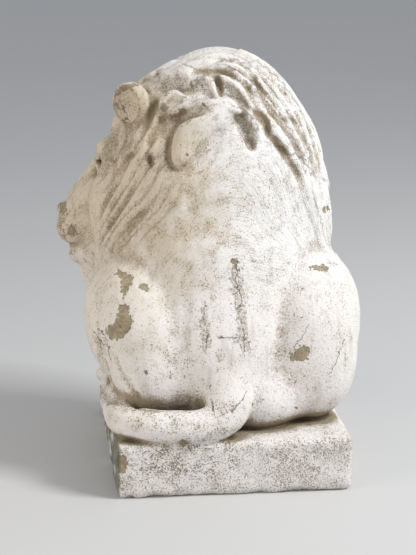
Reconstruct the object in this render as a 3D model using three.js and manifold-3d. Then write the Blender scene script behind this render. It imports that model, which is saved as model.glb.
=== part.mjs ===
import * as THREE from 'three';
import Module from 'manifold-3d';

// A stone lion sitting on its plinth, carved from one block, its head turned to its own left.
// Millimetres, +Z up. The lion faces -Y, its left side is +X, and the origin is the middle of the underside.
// The figure is carved about its own origin on the plinth's top and brought to its height at the end.

// Plinth
const plinthWidth = 400;
const plinthDepth = 480;
const plinthHeight = 95;
const plinthEdge = 7;

// Lion: its height stands on the plinth's top, and its seat lies this far behind the plinth's middle
const lionHeight = 625;
const seatSetBack = 25;

// Fineness of the carving: spacing of the net it is taken from, and the triangles left in its surface
const netSpacing = 7.5;
const triangleCount = 9300;

// Stone
const stoneColour = 0xd9d2c4;
const stoneRoughness = 0.9;

const upright = new THREE.Matrix4();
const place = (x, y, z) => new THREE.Vector3(x, y, z);

// Axes turned by yaw about Z, then pitch about X, then roll about Y, in degrees
function turned(yaw = 0, pitch = 0, roll = 0) {
  const [x, y, z] = [pitch, roll, yaw].map(THREE.MathUtils.degToRad);
  return new THREE.Matrix4().makeRotationFromEuler(new THREE.Euler(x, y, z, 'ZXY'));
}

// The same irregularity every time, between -1 and 1, for the numbered lock of a row
function chance(row, number) {
  const wild = Math.sin(row * 12.9898 + number * 78.233) * 43758.5453;
  return 2 * (wild - Math.floor(wild)) - 1;
}

// Value at t of a line through evenly or unevenly spaced knots
function along(t, knots, values) {
  let i = 0;
  while (i < knots.length - 2 && t > knots[i + 1]) i += 1;
  const share = THREE.MathUtils.clamp((t - knots[i]) / (knots[i + 1] - knots[i]), 0, 1);
  return values[i] + (values[i + 1] - values[i]) * share;
}

function smoothPath(points, count) {
  return new THREE.CatmullRomCurve3(points, false, 'catmullrom', 0.5).getPoints(count - 1);
}

// A mass is a box that holds it and the distance of a point from its skin, negative inside
function mass(middle, reach, distance) {
  return { low: middle.clone().sub(reach), high: middle.clone().add(reach), distance };
}

// The point x, y, z as seen from a middle along turned axes
function seenFrom(middle, axes) {
  const e = axes.elements;
  return (x, y, z) => {
    const [dx, dy, dz] = [x - middle.x, y - middle.y, z - middle.z];
    return [
      dx * e[0] + dy * e[1] + dz * e[2],
      dx * e[4] + dy * e[5] + dz * e[6],
      dx * e[8] + dy * e[9] + dz * e[10],
    ];
  };
}

// Half sizes along the upright axes of a box or ball with these half sizes along turned axes
function reachOf(half, axes, join) {
  const e = axes.elements;
  return place(...[0, 1, 2].map((i) => join(e[i] * half[0], e[4 + i] * half[1], e[8 + i] * half[2])));
}

function ball(middle, radii, axes = upright) {
  const [a, b, c] = radii;
  const seen = seenFrom(middle, axes);
  return mass(middle, reachOf(radii, axes, Math.hypot), (x, y, z) => {
    const [u, v, w] = seen(x, y, z);
    const share = Math.hypot(u / a, v / b, w / c);
    const slope = Math.hypot(u / (a * a), v / (b * b), w / (c * c));
    return (share * (share - 1)) / Math.max(slope, 1e-6);
  });
}

function block(middle, half, round, axes = upright) {
  const seen = seenFrom(middle, axes);
  const sum = (a, b, c) => Math.abs(a) + Math.abs(b) + Math.abs(c);
  return mass(middle, reachOf(half, axes, sum), (x, y, z) => {
    const [u, v, w] = seen(x, y, z).map((value, i) => Math.abs(value) - half[i] + round);
    const outside = Math.hypot(Math.max(u, 0), Math.max(v, 0), Math.max(w, 0));
    return outside + Math.min(Math.max(u, v, w), 0) - round;
  });
}

// A tapering limb through points, with a radius at each
function limb(points, radii) {
  const box = new THREE.Box3();
  points.forEach((p, i) => box.expandByPoint(p.clone().addScalar(radii[i])));
  points.forEach((p, i) => box.expandByPoint(p.clone().addScalar(-radii[i])));
  const middle = box.getCenter(place(0, 0, 0));
  const reach = box.max.clone().sub(middle);
  return mass(middle, reach, (x, y, z) => {
    let least = Infinity;
    for (let i = 0; i + 1 < points.length; i += 1) {
      const [a, b] = [points[i], points[i + 1]];
      const [bx, by, bz] = [b.x - a.x, b.y - a.y, b.z - a.z];
      const [px, py, pz] = [x - a.x, y - a.y, z - a.z];
      const length = Math.max(bx * bx + by * by + bz * bz, 1e-9);
      const t = Math.min(Math.max((px * bx + py * by + pz * bz) / length, 0), 1);
      const gap = Math.hypot(px - t * bx, py - t * by, pz - t * bz);
      least = Math.min(least, gap - radii[i] - t * (radii[i + 1] - radii[i]));
    }
    return least;
  });
}

// The smaller of two distances, rounded over the width of a blend
function softLeast(a, b, blend) {
  const share = Math.min(Math.max(0.5 + (0.5 * (b - a)) / blend, 0), 1);
  return b * (1 - share) + a * share - blend * share * (1 - share);
}

// The figure's distances on a net of points, to which masses are joined and from which they are cut
class Form {
  constructor(low, high, spacing) {
    this.low = low;
    this.spacing = spacing;
    this.count = high.clone().sub(low).divideScalar(spacing).ceil().addScalar(1);
    this.values = new Float32Array(this.count.x * this.count.y * this.count.z).fill(80);
  }

  index(i, j, k) {
    return (i * this.count.y + j) * this.count.z + k;
  }

  change(solid, blend, change) {
    const margin = blend + 3 * this.spacing;
    const from = solid.low.clone().subScalar(margin).sub(this.low).divideScalar(this.spacing);
    const to = solid.high.clone().addScalar(margin).sub(this.low).divideScalar(this.spacing);
    const last = this.count.clone().subScalar(1);
    from.floor().clampScalar(0, Infinity);
    to.ceil().min(last);
    for (let i = from.x; i <= to.x; i += 1) {
      const x = this.low.x + i * this.spacing;
      for (let j = from.y; j <= to.y; j += 1) {
        const y = this.low.y + j * this.spacing;
        for (let k = from.z; k <= to.z; k += 1) {
          const at = this.index(i, j, k);
          const distance = solid.distance(x, y, this.low.z + k * this.spacing);
          this.values[at] = change(this.values[at], distance, blend);
        }
      }
    }
  }

  add(solid, blend) {
    this.change(solid, blend, softLeast);
  }

  cut(solid, blend) {
    this.change(solid, blend, (a, b, width) => -softLeast(-a, b, width));
  }

  distance(p) {
    const [x, y, z] = ['x', 'y', 'z'].map((axis) => {
      const value = (p[axis] - this.low[axis]) / this.spacing;
      return Math.min(Math.max(value, 0), this.count[axis] - 1.001);
    });
    const [i, j, k] = [Math.floor(x), Math.floor(y), Math.floor(z)];
    const [u, v, w] = [x - i, y - j, z - k];
    let sum = 0;
    for (const [di, dj, dk] of cellCorners) {
      const weight = (di ? u : 1 - u) * (dj ? v : 1 - v) * (dk ? w : 1 - w);
      sum += weight * this.values[this.index(i + di, j + dj, k + dk)];
    }
    return sum;
  }

  slope(p) {
    const step = this.spacing;
    const [x, y, z] = ['x', 'y', 'z'].map((axis) => {
      const ahead = p.clone();
      const behind = p.clone();
      ahead[axis] += step;
      behind[axis] -= step;
      return (this.distance(ahead) - this.distance(behind)) / (2 * step);
    });
    return place(x, y, z);
  }

  // The nearest place on the skin, found in a few steps down the slope
  settle(p) {
    const found = p.clone();
    for (let step = 0; step < 3; step += 1) {
      const slope = this.slope(found);
      const steepness = Math.max(slope.lengthSq(), 0.05);
      found.addScaledVector(slope, -this.distance(found) / steepness);
    }
    return found;
  }

  // The first place on the skin from a point along a way, from outside (sign 1) or inside (sign -1)
  reachSkin(start, way, sign) {
    const found = start.clone();
    for (let step = 0; step < 60; step += 1) {
      const gap = sign * this.distance(found);
      if (gap < 0.2) break;
      found.addScaledVector(way, gap * 0.7);
    }
    return found;
  }

  copy() {
    const twin = Object.create(Form.prototype);
    return Object.assign(twin, this, { values: this.values.slice() });
  }
}

const cellCorners = [0, 1, 2, 3, 4, 5, 6, 7].map((n) => [n & 1, (n >> 1) & 1, n >> 2]);

// Rump, ribs, shoulders, neck and the stone left standing under the belly
function carveTrunk(form) {
  form.add(ball(place(12, 66, 105), [112, 116, 120]), 10);
  form.add(ball(place(-50, 100, 45), [80, 80, 60]), 20);
  form.add(ball(place(8, 20, 225), [150, 122, 175], turned(0, 14)), 60);
  form.add(ball(place(0, -35, 300), [172, 118, 165]), 50);
  form.add(ball(place(10, -30, 400), [160, 108, 150]), 50);
  form.add(block(place(0, -40, 50), [95, 95, 80], 30), 20);
}

// Four toes side by side, each running forward from y to the end
function carveToes(form, side, x, pitch, y, end, rise) {
  for (let toe = 0; toe < 4; toe += 1) {
    const middle = toe === 1 || toe === 2;
    const across = side * (x + toe * pitch);
    const tip = place(across, end - (middle ? 6 : 0), rise * 0.6);
    form.add(limb([place(across, y, rise), tip], [14, 14.5]), 5);
  }
}

// Haunch, knee, buttock, shin and foot. The left haunch ends in a narrower buttock behind its shin.
function carveHindLeg(form, side) {
  if (side > 0) {
    form.add(ball(place(146, 28, 160), [91, 126, 110], turned(4, -14, -4)), 14);
    form.add(ball(place(118, 92, 88), [76, 70, 86]), 22);
  } else {
    form.add(ball(place(-150, 28, 156), [91, 126, 118], turned(-4, -14, 4)), 16);
    form.add(ball(place(-142, 90, 88), [80, 72, 88]), 30);
  }
  form.add(ball(place(side * 160, 0, 194), [66, 92, 76]), 40);
  const shin = [place(side * 182, -58, 170), place(side * 178, 20, 90), place(side * 162, 88, 40)];
  form.add(limb(shin, [44, 28, 26]), 10);
  const foot = [place(side * 150, 100, 28), place(side * 166, -60, 22), place(side * 172, -118, 24)];
  form.add(limb(foot, [28, 24, 30]), 8);
  carveToes(form, side, 143, 19, -105, -143, 26);
}

function carveForeleg(form, side) {
  const leg = [[120, -70, 300], [116, -70, 190], [98, -140, 110], [94, -165, 45]];
  form.add(limb(leg.map(([x, y, z]) => place(side * x, y, z)), [82, 62, 42, 38]), 30);
  form.add(ball(place(side * 92, -190, 30), [46, 56, 32]), 12);
  carveToes(form, side, 62, 20.5, -200, -238, 32);
}

// The tail leaves the rump low, lies along the plinth's back edge and turns forward round the left foot
function carveTail(form) {
  const bends = [
    [8, 115, 105], [4, 162, 66], [18, 188, 36], [58, 198, 23], [110, 197, 24],
    [150, 189, 27], [184, 162, 27], [190, 90, 27], [190, 20, 26], [184, -40, 26],
  ];
  const path = smoothPath(bends.map((bend) => place(...bend)), 40);
  const radii = path.map((_, i) => along(i / 39, [0, 0.1, 0.2, 0.3, 0.8, 1], [52, 44, 35, 29, 25, 29]));
  form.add(limb(path, radii), 14);
}

// Crown and nape, crest, the lock over the left temple, the two sides over the shoulders, and the breast
function carveMane(form) {
  form.add(ball(place(0, -60, 408), [182, 135, 182]), 40);
  form.add(ball(place(-14, -78, 490), [132, 120, 126]), 30);
  form.add(ball(place(88, -75, 512), [56, 76, 52]), 20);
  form.add(ball(place(128, -85, 290), [82, 105, 170]), 50);
  form.add(ball(place(-92, -70, 310), [83, 108, 165]), 40);
  form.add(ball(place(10, -140, 240), [120, 78, 150]), 50);
}

// The head has axes of its own: x to its left, y backwards, z up, from its middle
const headTurn = 60;
const headMiddle = place(75, -97, 400);
const onHead = (x, y, z) => place(x, y, z).applyMatrix4(turned(headTurn)).add(headMiddle);
const headAxes = (...turns) => turned(headTurn).multiply(turned(...turns));

// Skull, forehead, bridge, muzzle, cheeks, brows, jaw, chin and the beard with the throat behind it
function carveSkull(form) {
  form.add(ball(onHead(0, 5, 20), [100, 112, 112], headAxes()), 30);
  form.add(ball(onHead(0, -56, 80), [72, 50, 48], headAxes()), 25);
  form.add(block(onHead(0, -156, -30), [27, 64, 27], 24, headAxes(0, 53)), 20);
  form.add(block(onHead(0, -152, -96), [58, 58, 46], 36, headAxes()), 14);
  for (const side of [1, -1]) {
    form.add(ball(onHead(side * 30, -184, -106), [36, 37, 36], headAxes()), 10);
    form.add(ball(onHead(side * 30, -128, -56), [34, 48, 42], headAxes()), 22);
    form.add(ball(onHead(side * 70, -52, -50), [52, 72, 75], headAxes()), 25);
    form.add(limb([onHead(side * 44, -118, -30), onHead(side * 92, -45, -8)], [17, 24]), 16);
    const brow = [onHead(side * 12, -116, 32), onHead(side * 46, -106, 40), onHead(side * 84, -60, 36)];
    form.add(limb(brow, [17, 18, 15]), 16);
    form.add(limb([onHead(side * 58, -30, -125), onHead(side * 30, -150, -150)], [40, 24]), 16);
    form.add(limb([onHead(side * 22, -150, -165), onHead(side * 12, -142, -228)], [24, 13]), 7);
  }
  form.add(block(onHead(0, -162, -158), [36, 44, 22], 20, headAxes()), 12);
  form.add(limb([onHead(0, -170, -168), onHead(0, -164, -240)], [27, 15]), 7);
  form.add(limb([onHead(0, -125, -165), onHead(0, -92, -245)], [42, 40]), 20);
}

// Nose, eyes with their lids, nostrils and the closed mouth
function carveFace(form) {
  form.add(block(onHead(0, -211, -82), [32, 17, 16], 13, headAxes(0, 12)), 7);
  for (const side of [1, -1]) {
    const path = (points) => points.map(([x, y, z]) => onHead(side * x, y, z));
    form.cut(ball(onHead(side * 50, -126, 4), [22, 16, 13], headAxes(side * 30)), 9);
    form.add(ball(onHead(side * 48, -108, 3), [19, 16, 14], headAxes(side * 30)), 2);
    form.add(limb(path([[28, -120, 0], [46, -127, 15], [70, -108, 8]]), [5, 6.5, 5]), 3);
    form.add(limb(path([[29, -120, -1], [47, -122, -11], [70, -108, 3]]), [4.5, 5, 4.5]), 4);
    form.cut(ball(onHead(side * 17, -227, -88), [10, 9, 6], headAxes(side * 20, 0, side * 20)), 3);
    const lip = path([[0, -226, -134], [34, -210, -140], [58, -164, -138], [66, -124, -148]]);
    form.cut(limb(lip, [4, 4, 4, 3]), 4);
  }
  form.cut(limb([onHead(0, -230, -98), onHead(0, -228, -134)], [3, 3]), 3);
}

function carveEar(form, side) {
  const axes = headAxes(side * 76, 0, side * 10);
  const middle = onHead(side * 108, -27, 134);
  const hollow = place(-1, -20, 0).applyMatrix4(axes).add(middle);
  form.add(ball(middle, [40, 21, 38], axes), 9);
  form.cut(ball(hollow, [30, 22, 28], axes), 4);
}

// Places on the mane are a bearing round its middle (0 back, 90 the lion's left) and a rise, in degrees
const maneMiddle = place(-5, -60, 400);
const longestStride = 48;

// A lock's tip is no finer than the net can hold
const finestRadius = 0.8 * netSpacing;

function direction(bearing, rise) {
  const [b, r] = [bearing, rise].map(THREE.MathUtils.degToRad);
  return place(Math.sin(b) * Math.cos(r), Math.cos(b) * Math.cos(r), Math.sin(r));
}

class Coat {
  constructor(form) {
    this.form = form;
    this.skin = form.copy();
  }

  spot(way) {
    return this.skin.reachSkin(maneMiddle.clone().addScaledVector(way, 60), way, -1);
  }

  spots(places) {
    return places.map(([bearing, rise]) => this.spot(direction(bearing, rise)));
  }

  // One lock along points on the skin: half its width, how proud it stands, and its taper.
  // Where the skin breaks off between two of the points, as between the legs, there is no lock.
  lock(points, width, proud, { root = 0.6, tip = 0.25, blend = 4, tile = false, hollow = false } = {}) {
    if (points.some((p, i) => i > 0 && p.distanceTo(points[i - 1]) > longestStride)) return;
    const path = smoothPath(points, 14).map((p) => this.skin.settle(p));
    const radii = [];
    path.forEach((p, i) => {
      const t = i / (path.length - 1);
      const taper = tile
        ? along(t, [0, 0.3, 0.6, 0.85, 1], [0.7, 1, 1, 0.6, 0.2])
        : Math.min(along(t, [0, 0.25, 1], [root, 1, 1]), along(t, [0, 0.45, 1], [1, 1, tip]));
      const radius = Math.max(width * taper, finestRadius);
      const height = tile
        ? Math.min(proud * along(t, [0, 0.55, 0.85, 1], [0.15, 0.9, 1, 0.45]), radius * 1.3)
        : proud * taper ** 0.7;
      const out = this.skin.slope(p).normalize();
      p.addScaledVector(out, (hollow ? 1 : -1) * (radius - height));
      radii.push(radius);
    });
    if (hollow) this.form.cut(limb(path, radii), blend);
    else this.form.add(limb(path, radii), blend);
  }

  // Strands side by side between two lines of flow, each a little different and waving across its run.
  // Half a strand's width is a little over half the distance from one to the next.
  sheaf(first, last, count, proud, row) {
    const [start, end] = [first, last].map((line) => smoothPath(this.spots(line), 25));
    const gap = start.reduce((sum, p, n) => sum + p.distanceTo(end[n]), 0) / (25 * count);
    const across = end[12].clone().sub(start[12]).normalize();
    for (let i = 0; i < count; i += 1) {
      const share = (i + 0.5 + 0.15 * chance(row, i)) / count;
      const waves = 7 + 2 * chance(row + 1, i);
      const whole = start.map((p, n) => {
        const sway = 0.22 * gap * Math.sin((n / 24) * waves + row + i * 0.9);
        return p.clone().lerp(end[n], share).addScaledVector(across, sway);
      });
      const begin = Math.round(2.5 + 2.5 * chance(row + 2, i));
      const stop = Math.round(23 + 2 * chance(row + 3, i));
      const points = whole.filter((_, n) => n >= begin && n <= stop && (n - begin) % 2 === 0);
      const width = gap * (0.56 + 0.1 * chance(row + 4, i));
      const height = Math.min(proud * (1 + 0.3 * chance(row + 5, i)), width);
      this.lock(points, width, height, { blend: 2 });
    }
  }
}

// Rows of locks round the face, the outermost first: where each row starts, its length in degrees,
// its number of locks, their half width and how proud they stand
const faceBearing = 118;
const faceRise = -12;
const ruffRows = [
  [120, 42, 26, 19, 11],
  [98, 40, 28, 19, 12],
  [77, 38, 27, 18, 12],
  [58, 34, 24, 17, 12],
  [41, 30, 20, 15, 12],
];

function bearingOf(way) {
  return THREE.MathUtils.radToDeg(Math.atan2(way.x, way.y));
}

function riseOf(way) {
  return THREE.MathUtils.radToDeg(Math.asin(way.z));
}

// The back of the mane, where a lock of these ways would cross the sheaves
function onBack(way) {
  const bearing = bearingOf(way);
  return bearing > -88 && bearing < 96 && riseOf(way) > -45;
}

function carveRuff(coat) {
  const face = direction(faceBearing, faceRise);
  const across = place(0, 0, 1).cross(face).normalize();
  const up = face.clone().cross(across);
  ruffRows.forEach(([start, reach, count, width, proud], row) => {
    for (let i = 0; i < count; i += 1) {
      const turn = (2 * Math.PI * (i + 0.5 * (row % 2) + 0.12 * chance(row, i))) / count;
      const from = start + 3 * chance(row + 10, i);
      const ways = [0, 1, 2, 3, 4, 5, 6].map((n) => {
        const t = n / 6;
        const off = THREE.MathUtils.degToRad(from + reach * t);
        const angle = turn + (0.11 * Math.sin(2.2 * Math.PI * t + 0.4)) / Math.sin(Math.max(off, 0.7));
        const way = face.clone().multiplyScalar(Math.cos(off));
        way.addScaledVector(across, Math.sin(off) * Math.cos(angle));
        way.addScaledVector(up, Math.sin(off) * Math.sin(angle));
        way.z -= 0.3 * t * t + 0.1 * t;
        return way.normalize();
      });
      const points = ways.map((way) => coat.spot(way));
      const tooLow = ways.some((way, n) => riseOf(way) < -78 || (riseOf(way) < -38 && points[n].y > -20));
      if (tooLow || ways.slice(2, 6).some(onBack)) continue;
      coat.lock(points, width * (1 + 0.1 * chance(row + 20, i)), proud, { blend: 2.5, tile: true });
    }
  });
}

// Rows of locks hanging on the breast: height of the row, its locks and their length
const breastRows = [[330, 7, 80], [280, 7, 90], [228, 6, 95], [178, 5, 70]];

function carveBreast(coat) {
  breastRows.forEach(([height, count, reach], row) => {
    for (let i = 0; i < count; i += 1) {
      const x = 12 + 33 * (i - (count - 1) / 2) + 4 * chance(row + 30, i);
      const z = height + 4 * chance(row + 40, i);
      const points = [0, 1, 2, 3, 4, 5].map((n) => {
        const t = n / 5;
        const front = place(x * (1 - 0.25 * t) + 7 * Math.sin(6 * t + row), -290, z - reach * t);
        return coat.skin.reachSkin(front, place(0, 1, 0), 1);
      });
      coat.lock(points, 18, 11, { blend: 2.5, tile: true });
    }
  });
}

// Lines along which the hair flows, from the crown down each side
const leftFlows = [
  [[67, 41], [65, 31], [67, 20], [74, 8], [82, -4], [85, -16]],
  [[50, 31], [52, 19], [58, 7], [69, -7], [82, -24]],
  [[38, 11], [43, -2], [53, -14], [66, -25], [74, -31]],
  [[25, 1], [33, -13], [44, -25], [52, -32]],
];
const rightFlows = [
  [[12, 67], [-10, 60], [-23, 50], [-30, 38], [-38, 23], [-46, 5], [-52, -11]],
  [[14, 73], [-13, 67], [-29, 56], [-39, 40], [-48, 19], [-53, -3]],
  [[2, 79], [-38, 69], [-50, 53], [-56, 34], [-59, 13], [-60, -7]],
  [[-65, 83], [-64, 68], [-67, 51], [-68, 33], [-67, 17], [-70, 0]],
  [[-90, 71], [-84, 53], [-82, 33], [-84, 14], [-86, -6]],
];
const rightLowFlows = [
  [[-3, 11], [-16, -6], [-28, -22], [-36, -33]],
  [[-32, 33], [-43, 16], [-50, -3], [-57, -17], [-64, -31]],
  [[-60, -2], [-66, -14], [-72, -26], [-74, -36]],
  [[-86, -2], [-87, -14], [-86, -26], [-84, -36]],
];

// The back of the mane: sheaves that sweep down to either side
function carveSheaves(coat) {
  const sweep = (flows, firstRow, shapes) => shapes.forEach(([count, proud], i) => {
    coat.sheaf(flows[i], flows[i + 1], count, proud, firstRow + i);
  });
  sweep(leftFlows, 2, [[2, 9], [3, 8], [3, 4]]);
  sweep(rightLowFlows, 12, [[3, 2], [2, 8], [2, 8]]);
  sweep(rightFlows, 22, [[1, 8], [2, 9], [2, 9], [2, 9]]);
}

// Single locks of the crown and nape, then the hollows between them
function carveLocks(coat) {
  const lock = (places, ...shape) => coat.lock(coat.spots(places), ...shape);
  lock([[111, 65], [90, 78], [-74, 88], [-71, 78], [-64, 68]], 24, 9, { blend: 6 });
  lock([[63, 69], [41, 77], [-16, 80], [-43, 71]], 12, 9);
  lock([[99, 53], [103, 58], [87, 62]], 11, 9);
  lock([[82, 61], [73, 67], [49, 67], [38, 63]], 13, 10);
  lock([[39, 55], [41, 61], [38, 67], [28, 69], [18, 67], [13, 61], [11, 56]], 10, 11);
  lock([[40, 52], [49, 54], [57, 52], [56, 47], [48, 45], [43, 47]], 9, 12, { tip: 0.8 });
  lock([[42, 42], [32, 48], [20, 52], [11, 55]], 9, 9);
  lock([[-1, 52], [13, 47], [24, 40], [30, 31], [32, 21]], 34, 18, { tip: 0.6, root: 0.75 });
  lock([[-2, 52], [-14, 51], [-21, 46], [-24, 39], [-22, 31], [-16, 25]], 10, 11, { tip: 0.6 });
  const hollow = (places, width, depth) => lock(places, width, depth, { hollow: true });
  hollow([[20, 53], [32, 47], [39, 37], [42, 27], [40, 19], [35, 14]], 7, 8);
  hollow([[103, 56], [69, 52], [54, 44]], 9, 8);
  hollow([[68, 56], [53, 58], [45, 62]], 10, 10);
  hollow([[53, 39], [44, 38], [37, 44]], 9, 8);
  hollow([[17, 71], [9, 63], [1, 56]], 7, 8);
  hollow([[-9, 47], [-15, 40], [-15, 31]], 14, 12);
  hollow([[-23, 49], [-29, 42], [-30, 33]], 8, 9);
}

// The box that holds the figure and a margin round it
const netLow = place(-266, -290, -48);
const netHigh = place(322, 262, 664);

function carveLion() {
  const form = new Form(netLow, netHigh, netSpacing);
  carveTrunk(form);
  for (const side of [1, -1]) {
    carveHindLeg(form, side);
    carveForeleg(form, side);
  }
  carveTail(form);
  carveMane(form);
  carveSkull(form);
  carveFace(form);
  const coat = new Coat(form);
  carveRuff(coat);
  carveBreast(coat);
  carveSheaves(coat);
  carveLocks(coat);
  carveEar(form, 1);
  carveEar(form, -1);
  return form;
}

// The skin of a form: each cell of the net is split into six wedges round its diagonal, and each wedge
// gives the one or two triangles where the distance is nought
const wedges = [[1, 3], [3, 2], [2, 6], [6, 4], [4, 5], [5, 1]].map(([a, b]) => [0, a, b, 7]);

function skinOf(form) {
  const points = [];
  const faces = [];
  const found = new Map();
  const cornerIndex = (cell, corner) => {
    const [di, dj, dk] = cellCorners[corner];
    return form.index(cell[0] + di, cell[1] + dj, cell[2] + dk);
  };
  const cornerPlace = (cell, corner) => {
    const [di, dj, dk] = cellCorners[corner];
    const p = place(cell[0] + di, cell[1] + dj, cell[2] + dk);
    return p.multiplyScalar(form.spacing).add(form.low);
  };
  const crossing = (cell, a, b) => {
    const [ia, ib] = [cornerIndex(cell, a), cornerIndex(cell, b)];
    const key = Math.min(ia, ib) * form.values.length + Math.max(ia, ib);
    if (!found.has(key)) {
      const [da, db] = [form.values[ia], form.values[ib]];
      const share = Math.min(Math.max(da / (da - db), 0.02), 0.98);
      found.set(key, points.length);
      points.push(cornerPlace(cell, a).lerp(cornerPlace(cell, b), share));
    }
    return found.get(key);
  };
  // Which way a face turns is told from the middles of the edges that it crosses
  const addFace = (cell, edges) => {
    const [a, b, c] = edges.map(([m, n]) => place(...cellCorners[m]).add(place(...cellCorners[n])));
    const out = b.sub(a).cross(c.sub(a));
    const fromInside = a.multiplyScalar(0.5).sub(place(...cellCorners[edges[0][0]]));
    const corners = edges.map(([m, n]) => crossing(cell, m, n));
    faces.push(out.dot(fromInside) > 0 ? corners : corners.reverse());
  };
  for (let i = 0; i + 1 < form.count.x; i += 1) {
    for (let j = 0; j + 1 < form.count.y; j += 1) {
      for (let k = 0; k + 1 < form.count.z; k += 1) {
        const cell = [i, j, k];
        const solid = cellCorners.map((_, n) => form.values[cornerIndex(cell, n)] < 0);
        if (solid.every((inside) => inside === solid[0])) continue;
        for (const wedge of wedges) {
          const inner = wedge.filter((n) => solid[n]);
          const outer = wedge.filter((n) => !solid[n]);
          if (inner.length === 0 || outer.length === 0) continue;
          const edges = inner.flatMap((m) => outer.map((n) => [m, n]));
          if (edges.length === 4) {
            addFace(cell, [edges[0], edges[1], edges[3]]);
            addFace(cell, [edges[0], edges[3], edges[2]]);
          } else {
            addFace(cell, edges);
          }
        }
      }
    }
  }
  return { points, faces };
}

// Only the largest body of a skin, so that no crumb of stone is left floating and no pocket stays sealed
function largestBody({ points, faces }) {
  const owner = points.map((_, i) => i);
  const root = (i) => {
    let n = i;
    while (owner[n] !== n) {
      owner[n] = owner[owner[n]];
      n = owner[n];
    }
    return n;
  };
  for (const [a, b, c] of faces) {
    owner[root(a)] = root(b);
    owner[root(b)] = root(c);
  }
  const sizes = new Map();
  faces.forEach(([a]) => sizes.set(root(a), (sizes.get(root(a)) ?? 0) + 1));
  const [largest] = [...sizes].sort((a, b) => b[1] - a[1])[0];
  return { points, faces: faces.filter(([a]) => root(a) === largest) };
}

// The sum of squared distances from planes is kept as ten numbers; these add a plane and weigh a place
function addPlane(sum, normal, offset, weight) {
  const v = [normal.x, normal.y, normal.z, offset];
  let n = 0;
  for (let i = 0; i < 4; i += 1) {
    for (let j = i; j < 4; j += 1) {
      sum[n] += weight * v[i] * v[j];
      n += 1;
    }
  }
}

function weigh(s, { x, y, z }) {
  const squares = s[0] * x * x + s[4] * y * y + s[7] * z * z + s[9];
  const products = s[1] * x * y + s[2] * x * z + s[5] * y * z;
  return squares + 2 * (products + s[3] * x + s[6] * y + s[8] * z);
}

// Where the sum is least, or the middle of the edge where the planes don't settle one place
function leastPlace(s, a, b) {
  const middle = a.clone().lerp(b, 0.5);
  const matrix = new THREE.Matrix3().set(s[0], s[1], s[2], s[1], s[4], s[5], s[2], s[5], s[7]);
  const size = matrix.determinant();
  if (Math.abs(size) > 1e-3) {
    const found = place(-s[3], -s[6], -s[8]).applyMatrix3(matrix.invert());
    if (found.distanceTo(middle) < 2 * a.distanceTo(b)) return found;
  }
  return [a, b, middle].sort((p, q) => weigh(s, p) - weigh(s, q))[0];
}

// A queue that gives the cheapest entry first
class Queue {
  constructor() {
    this.items = [];
  }

  push(item) {
    const { items } = this;
    let at = items.length;
    items.push(item);
    while (at > 0) {
      const above = (at - 1) >> 1;
      if (items[above].cost <= item.cost) break;
      items[at] = items[above];
      at = above;
    }
    items[at] = item;
  }

  pop() {
    const { items } = this;
    const first = items[0];
    const item = items.pop();
    let at = 0;
    while (items.length > 0) {
      let below = 2 * at + 1;
      if (below >= items.length) break;
      if (below + 1 < items.length && items[below + 1].cost < items[below].cost) below += 1;
      if (items[below].cost >= item.cost) break;
      items[at] = items[below];
      at = below;
    }
    if (items.length > 0) items[at] = item;
    return first;
  }
}

// Draws the ends of the flattest edges together until the surface has the number of triangles wanted
function simplified({ points, faces }, wanted) {
  const around = points.map(() => new Set());
  const sums = points.map(() => new Float64Array(10));
  const normalOf = ([a, b, c], moved = -1, p = null) => {
    const [u, v, w] = [a, b, c].map((n) => (n === moved ? p : points[n]));
    return v.clone().sub(u).cross(w.clone().sub(u));
  };
  faces.forEach((face, f) => {
    const normal = normalOf(face);
    const area = normal.length();
    normal.divideScalar(Math.max(area, 1e-9));
    face.forEach((n) => {
      around[n].add(f);
      addPlane(sums[n], normal, -normal.dot(points[face[0]]), area);
    });
  });
  const neighbours = (n) => {
    const near = new Set();
    around[n].forEach((f) => faces[f].forEach((m) => near.add(m)));
    near.delete(n);
    return near;
  };
  const stamps = new Int32Array(points.length);
  const queue = new Queue();
  const offer = (a, b) => {
    const sum = sums[a].map((value, i) => value + sums[b][i]);
    const to = leastPlace(sum, points[a], points[b]);
    const slack = 1e-3 * points[a].distanceToSquared(points[b]);
    queue.push({ cost: weigh(sum, to) + slack, a, b, to, sum, age: stamps[a] + stamps[b] });
  };
  points.forEach((_, n) => neighbours(n).forEach((m) => n < m && offer(n, m)));
  const turnsOver = (n, other, to) => [...around[n]].some((f) => {
    if (faces[f].includes(other)) return false;
    const [before, after] = [normalOf(faces[f]), normalOf(faces[f], n, to)];
    return before.dot(after) < 0.3 * before.length() * after.length() || after.length() < 1e-3;
  });
  let left = faces.length;
  while (left > wanted && queue.items.length > 0) {
    const { a, b, to, sum, age } = queue.pop();
    if (age !== stamps[a] + stamps[b] || around[a].size === 0 || around[b].size === 0) continue;
    const nearA = neighbours(a);
    const shared = [...neighbours(b)].filter((n) => nearA.has(n));
    if (!nearA.has(b) || shared.length !== 2) continue;
    if (turnsOver(a, b, to) || turnsOver(b, a, to)) continue;
    for (const f of [...around[b]]) {
      if (faces[f].includes(a)) {
        faces[f].forEach((n) => around[n].delete(f));
        faces[f] = null;
        left -= 1;
      } else {
        faces[f] = faces[f].map((n) => (n === b ? a : n));
        around[a].add(f);
      }
    }
    around[b].clear();
    points[a] = to;
    sums[a] = sum;
    stamps[a] += points.length;
    neighbours(a).forEach((n) => offer(a, n));
  }
  return { points, faces: faces.filter(Boolean) };
}

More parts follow.
